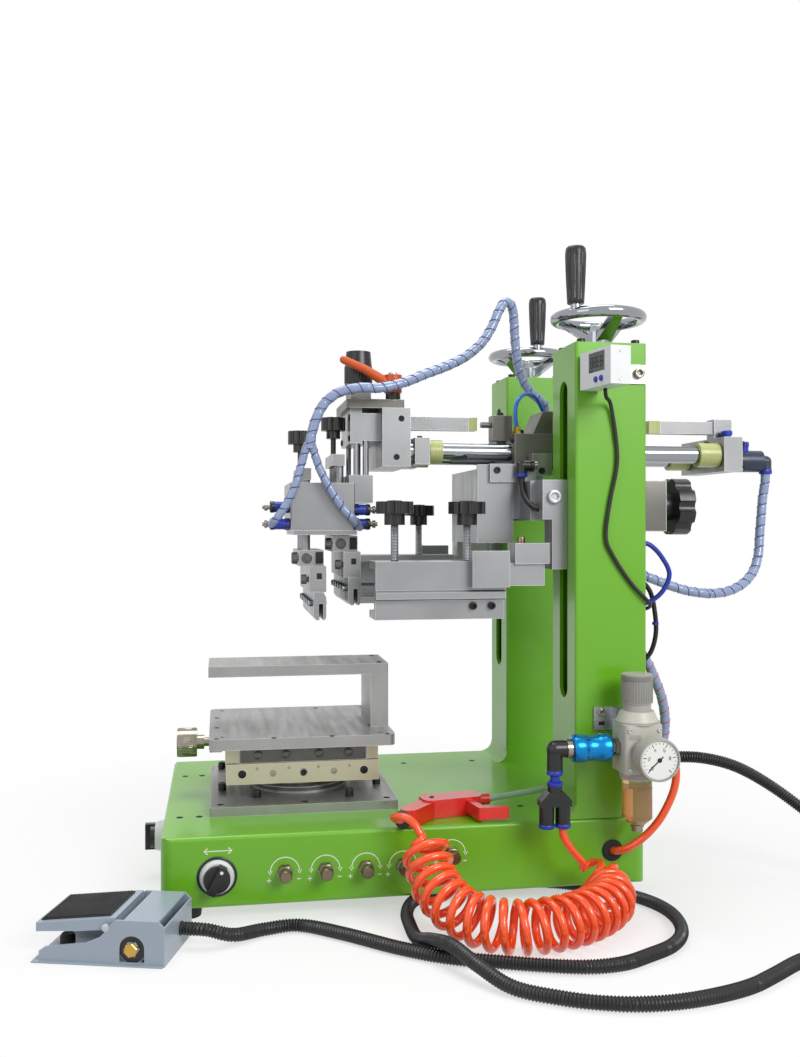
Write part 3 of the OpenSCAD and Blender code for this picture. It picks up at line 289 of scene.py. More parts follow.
def add_lathe(bm, at, axis, profile, sides=32, squeeze=None):
    """Adds a turned form: profile is a list of (radius, height) in mm along axis from the point at."""
    place = Matrix.Translation(at) @ turn_to(axis)
    rings = []
    for r, h in profile:
        if r < 1e-6:
            rings.append([bm.verts.new(place @ Vector((0, 0, h / 1000)))])
            continue
        ring = []
        for i in range(sides):
            a = 2 * math.pi * i / sides
            k = squeeze(i, r, h) if squeeze else 1
            point = Vector((r * k * math.cos(a), r * k * math.sin(a), h)) / 1000
            ring.append(bm.verts.new(place @ point))
        rings.append(ring)
    for a, b in zip(rings, rings[1:]):
        if len(a) == 1 and len(b) == 1:
            continue
        for i in range(sides):
            j = (i + 1) % sides
            if len(a) == 1:
                bm.faces.new((a[0], b[i], b[j]))
            elif len(b) == 1:
                bm.faces.new((a[i], b[0], a[j]))
            else:
                bm.faces.new((a[i], b[i], b[j], a[j]))
    for ring in (rings[0], rings[-1]):
        if len(ring) > 1:
            bm.faces.new(ring)


def lathe(name, at, axis, profile, finish, body, sides=32, squeeze=None):
    bm = bmesh.new()
    add_lathe(bm, at, axis, profile, sides, squeeze)
    return new_piece(name, bm, finish, body)


def add_box(bm, low, high, bevel=0.4, turn=None):
    """Adds a box with eased edges, from its two corners in machine mm."""
    lo, hi = P(*low), P(*high)
    made = bmesh.ops.create_cube(bm, size=1)
    verts = made["verts"]
    mid = (lo + hi) / 2
    size = hi - lo
    for v in verts:
        v.co = Vector((v.co.x * size.x, v.co.y * size.y, v.co.z * size.z))
    if bevel:
        edges = list({e for v in verts for e in v.link_edges})
        done = bmesh.ops.bevel(bm, geom=edges, offset=bevel / 1000, segments=2, affect="EDGES", profile=0.7)
        mine = {v for f in done["faces"] for v in f.verts} | {v for v in verts if v.is_valid}
        verts = [v for v in bm.verts if v in mine]
    spin = turn or Matrix.Identity(4)
    for v in verts:
        v.co = mid + (spin @ v.co)
    return verts


def block(name, low, high, finish, body, bevel=0.5, turn=None):
    bm = bmesh.new()
    add_box(bm, low, high, bevel, turn)
    return new_piece(name, bm, finish, body)


def add_socket(bm, at, axis, d, h):
    """Adds a socket head screw that stands h mm above the point at, with its hexagon recess."""
    r = d / 2
    key = d * 0.26
    place = Matrix.Translation(at) @ turn_to(axis)
    sides = 24

    def ring(radius, z, hexagon=False):
        out = []
        for i in range(sides):
            a = 2 * math.pi * i / sides
            k = 1
            if hexagon:
                t = (a % (math.pi / 3)) - math.pi / 6
                k = math.cos(math.pi / 6) / math.cos(t) * 1.1
            out.append(bm.verts.new(place @ Vector((radius * k * math.cos(a) / 1000,
                                                    radius * k * math.sin(a) / 1000, z / 1000))))
        return out

    rings = [ring(r, 0), ring(r, h * 0.82), ring(r * 0.94, h * 0.96), ring(r * 0.86, h),
             ring(key * 1.12, h), ring(key, h * 0.94, True), ring(key, h * 0.35, True)]
    for a, b in zip(rings, rings[1:]):
        for i in range(sides):
            j = (i + 1) % sides
            bm.faces.new((a[i], b[i], b[j], a[j]))
    bm.faces.new(rings[-1])
    bm.faces.new(rings[0])


def sockets(name, places, axis, d, h, finish, body):
    bm = bmesh.new()
    for p in places:
        add_socket(bm, P(*p), axis, d, h)
    return new_piece(name, bm, finish, body)


def holes(name, places, axis, d, body, finish=DARK):
    """Small drilled holes: dark dished discs with a thin countersunk rim; the dark inside an open hole is
    painted shade.
    """
    bm = bmesh.new()
    for p in places:
        add_lathe(bm, P(*p), axis, [(d / 2 + 0.5, 0), (d / 2 + 0.3, 0.12), (d / 2, 0.05), (0, 0.03)], 20)
    return new_piece(name, bm, finish, body)


def smooth_route(points, step=4.0):
    """Points along a Catmull-Rom curve through points, in mm, about step apart."""
    pts = [Vector(p) for p in points]
    pts = [pts[0] * 2 - pts[1]] + pts + [pts[-1] * 2 - pts[-2]]
    out = []
    for a, b, c, d in zip(pts, pts[1:], pts[2:], pts[3:]):
        n = max(1, round((c - b).length / step))
        for i in range(n):
            t = i / n
            out.append(0.5 * ((2 * b) + (c - a) * t + (2 * a - 5 * b + 4 * c - d) * t * t
                              + (3 * b - a - 3 * c + d) * t ** 3))
    out.append(pts[-2])
    return out


def frames_along(points):
    """A point, its direction and two directions square to it, with no twist, for each point."""
    out = []
    side = None
    for i, p in enumerate(points):
        t = (points[min(i + 1, len(points) - 1)] - points[max(i - 1, 0)]).normalized()
        if side is None:
            side = t.orthogonal().normalized()
        side = (side - t * side.dot(t)).normalized()
        out.append((p, t, side, t.cross(side)))
    return out


def even_steps(points, step):
    """The route again, with points exactly step apart."""
    out = [points[0]]
    left = step
    for a, b in zip(points, points[1:]):
        d = (b - a).length
        at = left
        while at <= d:
            out.append(a.lerp(b, at / d))
            at += step
        left = at - d
    if (out[-1] - points[-1]).length < step * 0.4:
        out[-1] = points[-1]
    else:
        out.append(points[-1])
    return out


def tube(name, points, radius_at, finish, body, sides=16):
    """A round tube along points in machine mm; radius_at gives its radius in mm at a distance along it."""
    bm = bmesh.new()
    rings = []
    gone = 0.0
    last = None
    for p, t, u, v in frames_along(points):
        if last is not None:
            gone += (p - last).length
        last = p
        r = radius_at(gone) if callable(radius_at) else radius_at
        ring = []
        for i in range(sides):
            a = 2 * math.pi * i / sides
            q = p + (u * math.cos(a) + v * math.sin(a)) * r
            ring.append(bm.verts.new(P(*q)))
        rings.append(ring)
    for a, b in zip(rings, rings[1:]):
        for i in range(sides):
            j = (i + 1) % sides
            bm.faces.new((a[i], b[i], b[j], a[j]))
    bm.faces.new(rings[0])
    bm.faces.new(rings[-1])
    return new_piece(name, bm, finish, body)


def wind(points, radius, pitch, per_turn=20, ease=2.0):
    """The points of a helix of that radius and pitch round a route, in mm."""
    along = frames_along(even_steps(points, pitch / per_turn))
    n = len(along)
    out = []
    for i, (p, t, u, v) in enumerate(along):
        turns = i / per_turn
        r = radius * min(1, turns / ease, (n - 1 - i) / per_turn / ease)
        a = 2 * math.pi * turns
        out.append(p + (u * math.cos(a) + v * math.sin(a)) * r)
    return out


# Black corrugated conduit from the pedal to the gland in the near column
conduit_route = [
    (22, -57, 18), (46, -63, 17), (70, -58, 9), (100, -42, 6.5), (133, -38, 6.5),
    (172, -66, 6.5), (218, -108, 6.5), (258, -136, 6.5), (300, -153, 6.5),
    (338, -167, 6.5), (374, -176, 6.5), (406, -174, 6.5), (435, -161, 6.5),
    (463, -145, 6.5), (483, -122, 6.5), (494, -94, 6.5), (497, -65, 6.5),
    (491, -38, 6.5), (476, -13, 6.5), (448, 13, 6.5), (414, 35, 6.5),
    (374, 48, 6.5), (330, 48, 6.5), (286, 34, 6.5), (254, 10, 6.5),
    (240, -22, 6.5), (237, -55, 6.5), (238, -88, 6.5), (246, -116, 15),
    (258, -144, 20.5), (274, -176, 15), (296, -206, 7.5), (329, -229, 6.5),
    (358, -243, 6.5), (389, -251, 6.5), (424, -252, 6.5), (460, -246, 6.5),
    (494, -235, 6.5), (524, -218, 6.5), (560, -196, 6.5), (600, -180, 6.5),
    (642, -164, 6.5), (682, -142, 6.5), (714, -110, 7), (734, -72, 12),
    (738, -32, 24), (724, 4, 46), (696, 28, 74), (660, 38, 101),
    (622, 39, 122), (584, 39, 133), (548, 39, 136), (516, 39, 136)]
line = even_steps(smooth_route(conduit_route), 1.0)


def corrugation(s):
    """Ribs 3 mm apart: a round crest and a narrow groove."""
    return 6.45 if (s % 3.0) < 1.9 else 5.5


conduit = tube("conduit", line, corrugation, CONDUIT, "base", sides=14)
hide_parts("pedal_conduit")

# Orange recoil hose from the branch piece to the air gun
gun_route = [
    (396, -35, 89), (397, -36, 78), (404, -38, 66), (412, -38, 56), (426, -38, 40),
    (436, -48, 29), (432, -74, 26), (412, -98, 26), (385, -116, 26), (354, -127, 26),
    (322, -128, 26), (293, -114, 28), (272, -94, 35), (259, -68, 49), (256, -52, 64),
    (254, -40, 78), (250, -36, 89), (245, -32, 97), (238, -27, 101.5), (231.5, -21.5, 101.5),
    (228, -16, 99.5), (229.2, -11.5, 97), (233, -8.6, 94.8), (237.4, -5.6, 93.4)]
gun_line = smooth_route(gun_route, 2.0)
first = next(i for i, p in enumerate(gun_line) if p.z < 50)
last = next(i for i, p in enumerate(gun_line) if i > 60 and p.z > 86)
coil = wind(gun_line[first:last], 21.0, 14.5, ease=1.0)
coil_line = gun_line[:first] + coil[1:-1] + gun_line[last:]
coil_line = even_steps(coil_line, 2.6)
recoil = tube("recoil_hose", coil_line, 4.0, ORANGE_HOSE, "base", sides=14)
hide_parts("gun_hose")


# Hoses inside a spiral wrap: a pale tube with the wrap's edge winding round it
def wrapped(name, points, d, body, seam=WRAP_BLUE):
    line = even_steps(smooth_route(points), 1.5)
    pitch = 13.0

    def radius_at(s):
        t = (s % pitch) / pitch
        return d / 2 - (0.55 if t > 0.9 else 0.0)

    skin = tube(name, line, radius_at, WRAP, body, sides=16)
    edge_line = wind(line, d / 2 - 0.1, pitch, per_turn=24, ease=0.05)
    edge = tube(name + "_seam", edge_line, 0.55, seam, body, sides=6)
    return [skin, edge]


def bent(pieces):
    for piece in pieces:
        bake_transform(piece)


head_hose_route = [
    (442, 168, 524.6), (442, 168, 533), (434, 168, 541), (423, 168, 550), (413, 168, 566),
    (407, 167, 588), (404, 166, 612), (402, 164, 636), (398, 160, 650), (389, 156, 653),
    (380, 152, 640), (371, 149, 621), (358, 145, 602), (338, 139, 585), (314, 130, 572),
    (286, 115, 560), (258, 99, 547.5), (231, 93, 540.5),
    (208, 93, 540), (186, 96, 535), (170, 99, 523), (161, 99, 506), (156, 100, 489),
    (154, 101, 474)]
left_branch_route = [
    (152, 101, 479), (149, 103, 470), (144, 105, 452), (138, 104, 432), (129, 105, 413), (120, 106, 399),
    (114, 112, 392), (113, 120, 391)]
right_branch_route = [
    (156, 101, 479), (159, 103, 470), (166, 104, 450), (178, 104, 428), (191, 105, 409), (203, 106, 396),
    (210, 112, 388), (211, 120, 388)]
head_hose = wrapped("head_hose_wrap", head_hose_route, 11, None)
bent(head_hose)
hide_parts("head_hose")
wrapped("left_branch_wrap", left_branch_route, 9, "shuttle")
wrapped("right_branch_wrap", right_branch_route, 9, "shuttle")

stroke_hose_route = [
    (707, 131, 452), (706, 131, 440), (703, 131, 422), (700, 129, 400), (697, 127, 378),
    (693, 123, 354), (683, 117, 334), (665, 109, 320), (642, 102, 312), (617, 98, 310)]
lift_hose_route = [
    (617, 98, 310), (590, 97, 314), (564, 97, 322), (540, 97, 331), (518, 97, 340),
    (502, 95, 346), (492, 91, 349), (490, 88, 350), (490, 84, 350)]
stroke_hose = wrapped("stroke_hose_wrap", stroke_hose_route, 11, None)
bent(stroke_hose)
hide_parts("cylinder_hose")
lift_hose = wrapped("lift_hose_wrap", lift_hose_route, 11, None)
bent(lift_hose)
column_hose_route = [
    (508, 62, 252), (514, 62, 252), (524, 60, 241), (534, 59, 220), (543, 59, 196), (547, 60, 170),
    (543, 60, 144), (533, 61, 120), (523, 61, 104), (514, 62, 98), (508, 62, 98)]
column_hose = wrapped("column_hose_wrap", column_hose_route, 11, "base", RED)
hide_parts("column_hose")

regulator_route = [
    (503, -35, 165), (513, -34, 156), (518, -33, 140), (517, -32, 122), (511, -30, 104),
    (501, -28, 86), (487, -25, 70), (473, -19, 58), (464, -10, 52), (462, 1, 50), (462, 8, 50)]
feed = tube("regulator_hose_bent", smooth_route(regulator_route), 4.0, ORANGE_HOSE, "base", sides=20)
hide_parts("regulator_hose")
readout_route = [
    (443, -30, 527.7), (448, -20, 521), (458, -6, 515), (465, -3, 480), (466, -3, 452),
    (458, -3, 412), (454, -3, 378), (461, -3, 359), (480, -3, 331), (498, -4, 312),
    (505, 2, 306), (507, 12, 302), (506, 21, 300), (500.3, 22, 300)]
lead = tube("readout_lead", smooth_route(readout_route, 3.0), 2.0, CABLE, "base", sides=12)
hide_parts("readout_cable")

# Directions that screws and turned parts face
FRONT = (0, -1, 0)
BACK = (0, 1, 0)
LEFT = (-1, 0, 0)
RIGHT = (1, 0, 0)
UP = (0, 0, 1)
DOWN = (0, 0, -1)


def strip(bm, points, half, y, thick=0.25):
    """Adds a flat painted line on a front face: points are (X, Z) in machine mm."""
    pts = [Vector((x, z)) for x, z in points]
    rings = []
    for i, p in enumerate(pts):
        d = (pts[min(i + 1, len(pts) - 1)] - pts[max(i - 1, 0)]).normalized()
        side = Vector((-d.y, d.x)) * half
        rings.append([bm.verts.new(P(p.x + s * side.x, yy, p.y + s * side.y))
                      for s, yy in ((1, y), (1, y - thick), (-1, y - thick), (-1, y))])
    for a, b in zip(rings, rings[1:]):
        for i in range(4):
            j = (i + 1) % 4
            bm.faces.new((a[i], b[i], b[j], a[j]))
    bm.faces.new(rings[0])
    bm.faces.new(rings[-1])


def arc(x, z, r, start, end, steps=24):
    """Points of an arc about (x, z), in degrees."""
    out = []
    for i in range(steps + 1):
        a = math.radians(start + (end - start) * i / steps)
        out.append((x + r * math.cos(a), z + r * math.sin(a)))
    return out


def grip_rings(count, depth, low, high, sides):
    """A squeeze for lathe: count flutes of that depth between two heights."""
    def squeeze(i, r, h):
        if not low <= h <= high:
            return 1
        return 1 - depth * max(0.0, math.cos(2 * math.pi * i * count / sides))
    return squeeze


# Marks on the control panel: an arc with two arrowheads round each valve, and plus and minus
VALVES = [(121, 46), (161.5, 46), (202, 46), (240, 46), (290, 55)]
bm = bmesh.new()
for x, z in VALVES:
    strip(bm, arc(x, z, 14.5, 176, 4), 0.42, 0)
    for side in (-1, 1):
        tip = (x + side * 14.6, z - 2)
        strip(bm, [(tip[0] - 1.9, tip[1] + 3.6), tip, (tip[0] + 1.9, tip[1] + 3.6)], 0.42, -0.05)
    strip(bm, [(x - 18, z - 8), (x - 13.4, z - 8)], 0.45, 0)
    strip(bm, [(x - 15.7, z - 10.3), (x - 15.7, z - 5.7)], 0.45, -0.05)
    strip(bm, [(x + 12, z - 7.5), (x + 16, z - 7.5)], 0.45, 0)
strip(bm, [(42, 70), (69, 70)], 0.45, 0)
strip(bm, [(45.5, 73), (42, 70), (45.5, 67)], 0.55, -0.05)
strip(bm, [(65.5, 73), (69, 70), (65.5, 67)], 0.55, -0.05)
new_piece("panel_marks", bm, MARK, "base", smooth=False)

# Needle valves: hexagon nuts, fluted sleeves and domed ends
bm = bmesh.new()
for x, z in VALVES:
    add_lathe(bm, P(x, -2.4, z), FRONT, [(7.4, 0), (7.6, 0.4), (7.6, 3.4), (6.6, 4)], 6)
    add_lathe(bm, P(x, -16.8, z), FRONT, [(6.1, 0), (6.1, 0.3), (5.4, 1.4), (0, 1.6)], 24)
    add_lathe(bm, P(x, -9, z), FRONT, [(6, 0), (6.35, 0.4), (6.35, 6.6), (6, 7)], 72,
              grip_rings(24, 0.06, 0.3, 6.7, 72))
new_piece("valve_nuts", bm, DULL_NICKEL, "base")

# Switches: dark rings behind the bezels, a light dot on each bar
lathe("front_switch_ring", P(54.6, 0, 45), FRONT, [(19.6, 0), (19.6, 0.9), (18.8, 1.5), (17, 1.6)], BLACK,
      "base", 48)
lathe("end_switch_ring", P(0, 150, 45), LEFT, [(19.6, 0), (19.6, 0.9), (18.8, 1.5), (17, 1.6)], BLACK,
      "base", 48)
dot_turn = math.radians(-27)
lathe("front_switch_dot", P(54.6 - 10 * math.sin(dot_turn), -17.9, 45 + 10 * math.cos(dot_turn)), FRONT,
      [(1.7, 0), (1.7, 0.4), (0, 0.5)], WHITE, "front_switch", 16)
lathe("end_switch_dot", P(-23.9, 150, 55), LEFT, [(1.7, 0), (1.7, 0.4), (0, 0.5)], WHITE, "end_switch", 16)

# Base: grommet of the feed hose, plugged holes
lathe("feed_grommet", P(462, 0, 50), FRONT,
      [(5, -0.5), (11, 0), (11.4, 0.8), (10.4, 2.2), (8, 2.8), (5, 2.6)], RUBBER, "base", 40)
holes("base_top_holes", [(16, 76, 84), (36, 76, 84), (16, 260, 84), (36, 260, 84), (290, 60, 84),
                         (290, 285, 84), (380, 60, 84), (380, 285, 84)], UP, 6.5, "base")

# Columns: cap screws
bm = bmesh.new()
for y0 in (0, 267):
    for dx, dy in ((9, 9), (69, 9), (9, 69), (69, 69)):
        add_socket(bm, P(422 + dx, y0 + dy, 581), UP, 9, 4.5)
new_piece("column_screws", bm, BLACK_STEEL, "base")

# Handwheels: hub nuts, and fluted grips in place of the plain ones
GRIP = [(8.4, 0), (9, 0.8), (9.1, 4), (9.2, 6), (9.9, 20), (10.6, 36), (11, 50), (11, 54), (10.4, 58.2),
        (8.6, 60), (6.4, 60), (6.2, 58.8), (0, 58.8)]
WHEEL_X = 461
GRIP_R = 45.5
for side, y, angle in (("near", 39, 219), ("far", 306, 270)):
    a = math.radians(angle)
    grip_x = WHEEL_X + GRIP_R * math.cos(a)
    grip_y = y + GRIP_R * math.sin(a)
    made = lathe(side + "_grip_fluted", P(grip_x, grip_y, 622), UP, GRIP, BLACK, side + "_wheel", 120,
                 grip_rings(10, 0.09, 6, 50, 120))
    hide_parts(side + "_grip")
    lathe(side + "_grip_pin", P(grip_x, grip_y, 680.6), UP,
          [(4.6, 0), (4.6, 0.9), (3.4, 1.4), (0, 1.4)], STEEL, side + "_wheel", 24)
    bm = bmesh.new()
    add_lathe(bm, P(WHEEL_X, y, 596.5), UP, [(10.4, 0), (10.4, 1.2), (0, 1.2)], 32)
    add_lathe(bm, P(WHEEL_X, y, 597.6), UP, [(9, 0), (9.2, 0.5), (9.2, 7), (8, 7.8)], 6)
    add_lathe(bm, P(WHEEL_X, y, 605), UP, [(5, 0), (5, 3.2), (4, 4.2), (0, 4.2)], 24)
    new_piece(side + "_hub_nut", bm, STEEL, side + "_wheel")

# Readout: display with its figures, two buttons, the screw of its bracket
tilt = Matrix.Rotation(math.radians(9), 4, "Z")


def on_readout(x, y, z):
    """Machine coordinates of a point given from the readout's own corner, in mm."""
    p = tilt @ Vector((x, y, 0))
    return (425 + p.x, -5.6 + p.y, 529 + z)


c = on_readout(0.35, -34, 25)
block("readout_display", (c[0] - 0.12, c[1] - 15.8, c[2] - 9.8), (c[0] + 0.12, c[1] + 15.8, c[2] + 9.8),
      LCD, "base", 0, tilt)
bm = bmesh.new()
for k in range(4):
    c = on_readout(0.15, -43 + 6.4 * k, 25)
    for dz in (-5, 0, 5):
        add_box(bm, (c[0] - 0.06, c[1] - 1.7, c[2] + dz - 0.5), (c[0] + 0.06, c[1] + 1.7, c[2] + dz + 0.5),
                0, tilt)
    for dy in (-2, 2):
        if k != 1 or dy > 0:
            e = on_readout(0.15, -43 + 6.4 * k + dy, 25)
            add_box(bm, (e[0] - 0.06, e[1] - 0.45, e[2] - 5), (e[0] + 0.06, e[1] + 0.45, e[2] + 5), 0, tilt)
new_piece("readout_figures", bm, DARK, "base", smooth=False)
bm = bmesh.new()
face = tilt @ Vector(LEFT)
for y in (-44, -33):
    add_lathe(bm, P(*on_readout(0.2, y, 7.5)), face, [(3.1, 0), (3.1, 1.2), (2.6, 1.9), (0, 2.1)], 24)
new_piece("readout_buttons", bm, BLUE, "base")
sockets("readout_screw", [(490, -2, 549)], FRONT, 11, 5, NICKEL, "base")
sockets("readout_case_screws", [on_readout(11, -62, 5), on_readout(11, -62, 33)], tilt @ Vector(FRONT), 3.4,
        0.8, STEEL, "base")

# Screws of the carriages, the lift beam and the bearing housing
sockets("carriage_pivot_bolt", [(407, 25.5, 420)], FRONT, 15, 5, STEEL, "lift")
sockets("carriage_top_bolts", [(373, 33, 371), (373, 312, 371)], UP, 9, 6.5, DULL_NICKEL, "lift")
sockets("beam_front_screws", [(361, 86.5, 451), (414, 91.5, 451)], FRONT, 7.5, 2, BLACK_STEEL, "lift")
block("lock_pad_front", (500.9, 21.6, 383.5), (531.6, 22.2, 437.6), DARK_ALUMINIUM, "lift", 0.2)
sockets("bearing_top_screws", [(398, 122, 494.5), (460, 122, 494.5), (398, 223, 494.5), (462, 223, 494.5)],
        UP, 8, 5, BLACK_STEEL, "lift")
sockets("bearing_left_screws", [(389, 121, 460), (389, 121, 487), (389, 224, 460), (389, 224, 487)], LEFT,
        6, 2.5, BLACK_STEEL, "lift")
sockets("stop_block_screws", [(382, 150, 517.5), (458, 150, 517.5)], UP, 7, 4, BLACK_STEEL, "lift")

# Fitting, tubes and cable on the lift
bm = bmesh.new()
add_lathe(bm, P(387, 78, 456), RIGHT,
          [(0, -5.8), (4, -4.6), (5.6, -1.6), (5.8, 1), (5.8, 9), (6.8, 9.4), (6.8, 13), (5.8, 13.4)], 24)
add_lathe(bm, P(387, 78, 456), DOWN, [(0, -5.8), (4, -4.6), (5.6, -1.6), (5.8, 1), (5.8, 9.4)], 24)
new_piece("lift_elbow", bm, BLACK, "lift")
bm = bmesh.new()
add_lathe(bm, P(387, 86.6, 456), FRONT, [(5, 0), (5, 4)], 20)
add_lathe(bm, P(400, 78, 456), RIGHT, [(4.6, 0), (4.6, 4), (3.8, 4.6), (0, 4.6)], 20)
new_piece("lift_elbow_ends", bm, NICKEL, "lift")
lathe("lift_elbow_collar", P(387, 78, 447), DOWN, [(5.6, -0.4), (6.6, 0), (6.6, 3.6), (4.6, 4.2)], BLUE,
      "lift", 24)
loop = smooth_route([(387, 78, 444), (386.5, 75, 434), (386, 67, 424), (388, 57, 415), (392, 48, 409),
                     (396, 42, 407)], 2.0)
tube("lift_black_tube", loop, 3.2, CABLE, "lift", sides=14)
lathe("lift_tube_fitting", P(393, 118, 494.4), UP, [(5, 0), (5, 4), (4, 4.6), (4, 8), (3, 8.6)], BRASS,
      "lift", 6)
arch = smooth_route([(393, 118, 500), (391, 118, 514), (393, 120, 529), (401, 127, 539), (413, 137, 543),
                     (425, 149, 540), (434, 159, 531), (439, 165, 525)], 2.0)
tube("lift_blue_tube", arch, 2.4, SKY_BLUE, "lift", sides=14)

# Clamp arms: screws under the lip, threaded stems, caps on the knobs
sockets("arm_lip_screws", [(320, 32, 305), (340, 32, 305)], FRONT, 8, 4.5, BLACK_STEEL, "lift")
sockets("far_arm_lip_screws", [(320, 313, 305), (340, 313, 305)], BACK, 8, 4.5, BLACK_STEEL, "lift")
KNOBS = [(241, 59), (320, 59), (310, 286)]
stems = bmesh.new()
caps = bmesh.new()
for x, y in KNOBS:
    thread = [(3.6, 352.4)]
    for k in range(23):
        thread += [(4.35, 352.9 + 1.6 * k), (3.9, 353.7 + 1.6 * k)]
    add_lathe(stems, P(x, y, 0), UP, thread, 20)
    add_lathe(caps, P(x, y, 414.9), UP, [(8.5, 0), (8.5, 0.6), (7.4, 1.2), (0, 1.6)], 28)
new_piece("knob_stems", stems, STEEL, "lift")
new_piece("knob_caps", caps, BLACK, "lift")

# Print head: screws and holes, fluted height knob, lever screw
lathe("height_knob_flutes", P(214, 150.5, 551), UP, [(15.2, 0.2), (16.1, 1), (16.1, 19.6), (15.2, 20.6)],
      BLACK, "shuttle", 160, grip_rings(32, 0.045, 0.9, 19.8, 160))
lathe("height_knob_cap", P(214, 150.5, 587.9), UP, [(9, 0), (9, 0.7), (8, 1.1), (0, 1.1)], DARK_STEEL,
      "shuttle", 28)
sockets("lever_screw", [(250, 124.5, 559)], UP, 10, 3, STEEL, "lever")
lathe("lever_boss", P(250, 124.5, 531), UP, [(8.2, 0), (8.4, 0.4), (8.4, 7), (7.8, 7.5)], BLACK, "shuttle",
      32)
holes("head_set_screws", [(257.5, 111.5, 509), (252, 111.5, 466)], FRONT, 6, "shuttle")
holes("head_left_holes", [(236, 131.5, 486), (236, 213.5, 486)], LEFT, 7, "shuttle")
sockets("slide_screws", [(202, 136, 512), (202, 209, 512), (202, 136, 488), (202, 209, 488)], LEFT, 7, 1.5,
        BLACK_STEEL, "shuttle")
sockets("head_plate_screws", [(206, 124, 531), (206, 222, 531), (254, 222, 531)], UP, 7, 1.5, BLACK_STEEL,
        "shuttle")
sockets("cylinder_screws", [(141, 124, 437), (141, 221, 437), (172, 124, 437), (172, 221, 437)], UP, 7, 1.2,
        BLACK_STEEL, "shuttle")
sockets("clamp_tab_screws", [(282, 131.5, 488.5), (282, 213.5, 488.5)], UP, 6, 3, BLACK_STEEL, "shuttle")

# Fittings of the cylinders: black bodies, blue collars, nickel ends
black_parts = bmesh.new()
nickel_parts = bmesh.new()
for x, z, way in ((134, 391, LEFT), (134, 410, LEFT), (206, 391, RIGHT), (206, 407, RIGHT)):
    start = 22 if way is LEFT else 18
    add_lathe(black_parts, P(x, 126.5, z), way, [(6.3, 0.2), (6.7, 0.8), (6.7, 5), (6.3, 5.6)], 6)
    add_lathe(black_parts, P(x, 126.5, z), way,
              [(6.2, start - 5), (6.5, start - 4.6), (6.5, start - 1), (6, start)], 24)
    add_lathe(nickel_parts, P(x, 126.5, z), way,
              [(3, start - 0.5), (3, start + 2.6), (4.4, start + 3), (4.4, start + 6), (2.4, start + 6.4),
               (2.4, start + 8.4), (0, start + 8.6)], 24, grip_rings(8, 0.1, start + 2.8, start + 6.1, 24))
new_piece("fitting_bodies", black_parts, BLACK, "shuttle")
new_piece("fitting_ends", nickel_parts, NICKEL, "shuttle")

# Each squeegee: clamp screw and nut, square nut hole, side knobs, the row of blade screws
for side, dx, dz in (("left", 0, -16), ("right", 38, 0)):
    body = side + "_squeegee"
    x = 153 + dx
    z = 378 + dz
    lathe(side + "_clamp_screw", P(x, 126.5, z - 9), FRONT,
          [(6, 0), (6, 0.5), (5.2, 0.8), (4.9, 0.3), (3, 0.3), (2.8, 1.2), (0, 1.2)], DARK_STEEL, body, 32)
    bm = bmesh.new()
    for k in range(6):
        add_lathe(bm, P(x + 5.2, 112 + 24.2 * k, z - 58), LEFT,
                  [(3.4, 0), (3.6, 0.3), (3.6, 4.4), (3, 5), (1.8, 5), (1.6, 3.4), (0, 3.4)], 18)
        add_lathe(bm, P(x + 18.8, 112 + 24.2 * k, z - 58), RIGHT, [(2.6, 0), (2.6, 1.6), (0, 2.2)], 18)
    new_piece(side + "_blade_screws", bm, CHROME, body)
    bm = bmesh.new()
    add_box(bm, (x + 10, 123.5, z - 15), (x + 18, 126.6, z - 2), 0.5)
    add_box(bm, (x + 9.4, 107.1, z - 31.5), (x + 15, 107.7, z - 25), 0.1)
    add_box(bm, (x + 5.4, 97.9, z - 47.6), (x + 16.6, 247.2, z - 46.2), 0.1)
    add_box(bm, (x + 10.7, 98, z - 75.6), (x + 11.3, 247, z - 60), 0)
    new_piece(side + "_dark_parts", bm, BLACK_STEEL, body)
    lathe(side + "_side_knob", P(x + 1.2, 118, z - 32), LEFT,
          [(3, 0), (3, 2), (5.4, 2.4), (5.4, 7.6), (4.6, 8.4), (0, 8.4)], DARK_STEEL, body, 32,
          grip_rings(16, 0.08, 2.2, 8, 32))
    lathe(side + "_top_knob", P(x - 9, 134, z - 9), LEFT,
          [(3, 0), (3, 0.8), (6.6, 1), (6.6, 6.8), (5.6, 7.6), (0, 7.6)],
          DARK_STEEL, body, 48, grip_rings(16, 0.06, 1, 7, 48))

# Shuttle's right end: blue push-in fittings and screws
bm = bmesh.new()
add_lathe(bm, P(678, 131.5, 478), UP, [(6.4, 0), (6.4, 6), (7, 6.6), (7, 11), (5.4, 12), (0, 12)], 24)
add_lathe(bm, P(657, 131.5, 494.4), UP, [(5.4, 0), (5.4, 3), (6.6, 3.4), (6.6, 8), (5, 9), (0, 9)], 24)
add_lathe(bm, P(707, 131.5, 452.4), UP, [(7.2, -1), (7.7, -0.4), (7.7, 4), (7.2, 4.6)], 24)
new_piece("end_fittings", bm, BLUE, "shuttle")
sockets("end_block_screws", [(668, 117, 486), (668, 230, 486), (668, 117, 460), (668, 230, 460)], RIGHT, 8, 3,
        BLACK_STEEL, "shuttle")
sockets("end_collar_screws", [(631, 131.5, 488), (631, 213.5, 488)], UP, 6, 1.6, BLACK_STEEL, "shuttle")

# Table: plugs and rings in the bed, screws, posts, dark slide between bed and top, holes in the top
bm = bmesh.new()
for x in (81, 213):
    add_lathe(bm, P(x, 99, 122), FRONT, [(4.2, 0), (4.2, 2.6), (3.4, 3), (2, 3), (1.8, 1.4), (0, 1.4)], 24)
new_piece("bed_plugs", bm, BLACK_STEEL, "turntable")
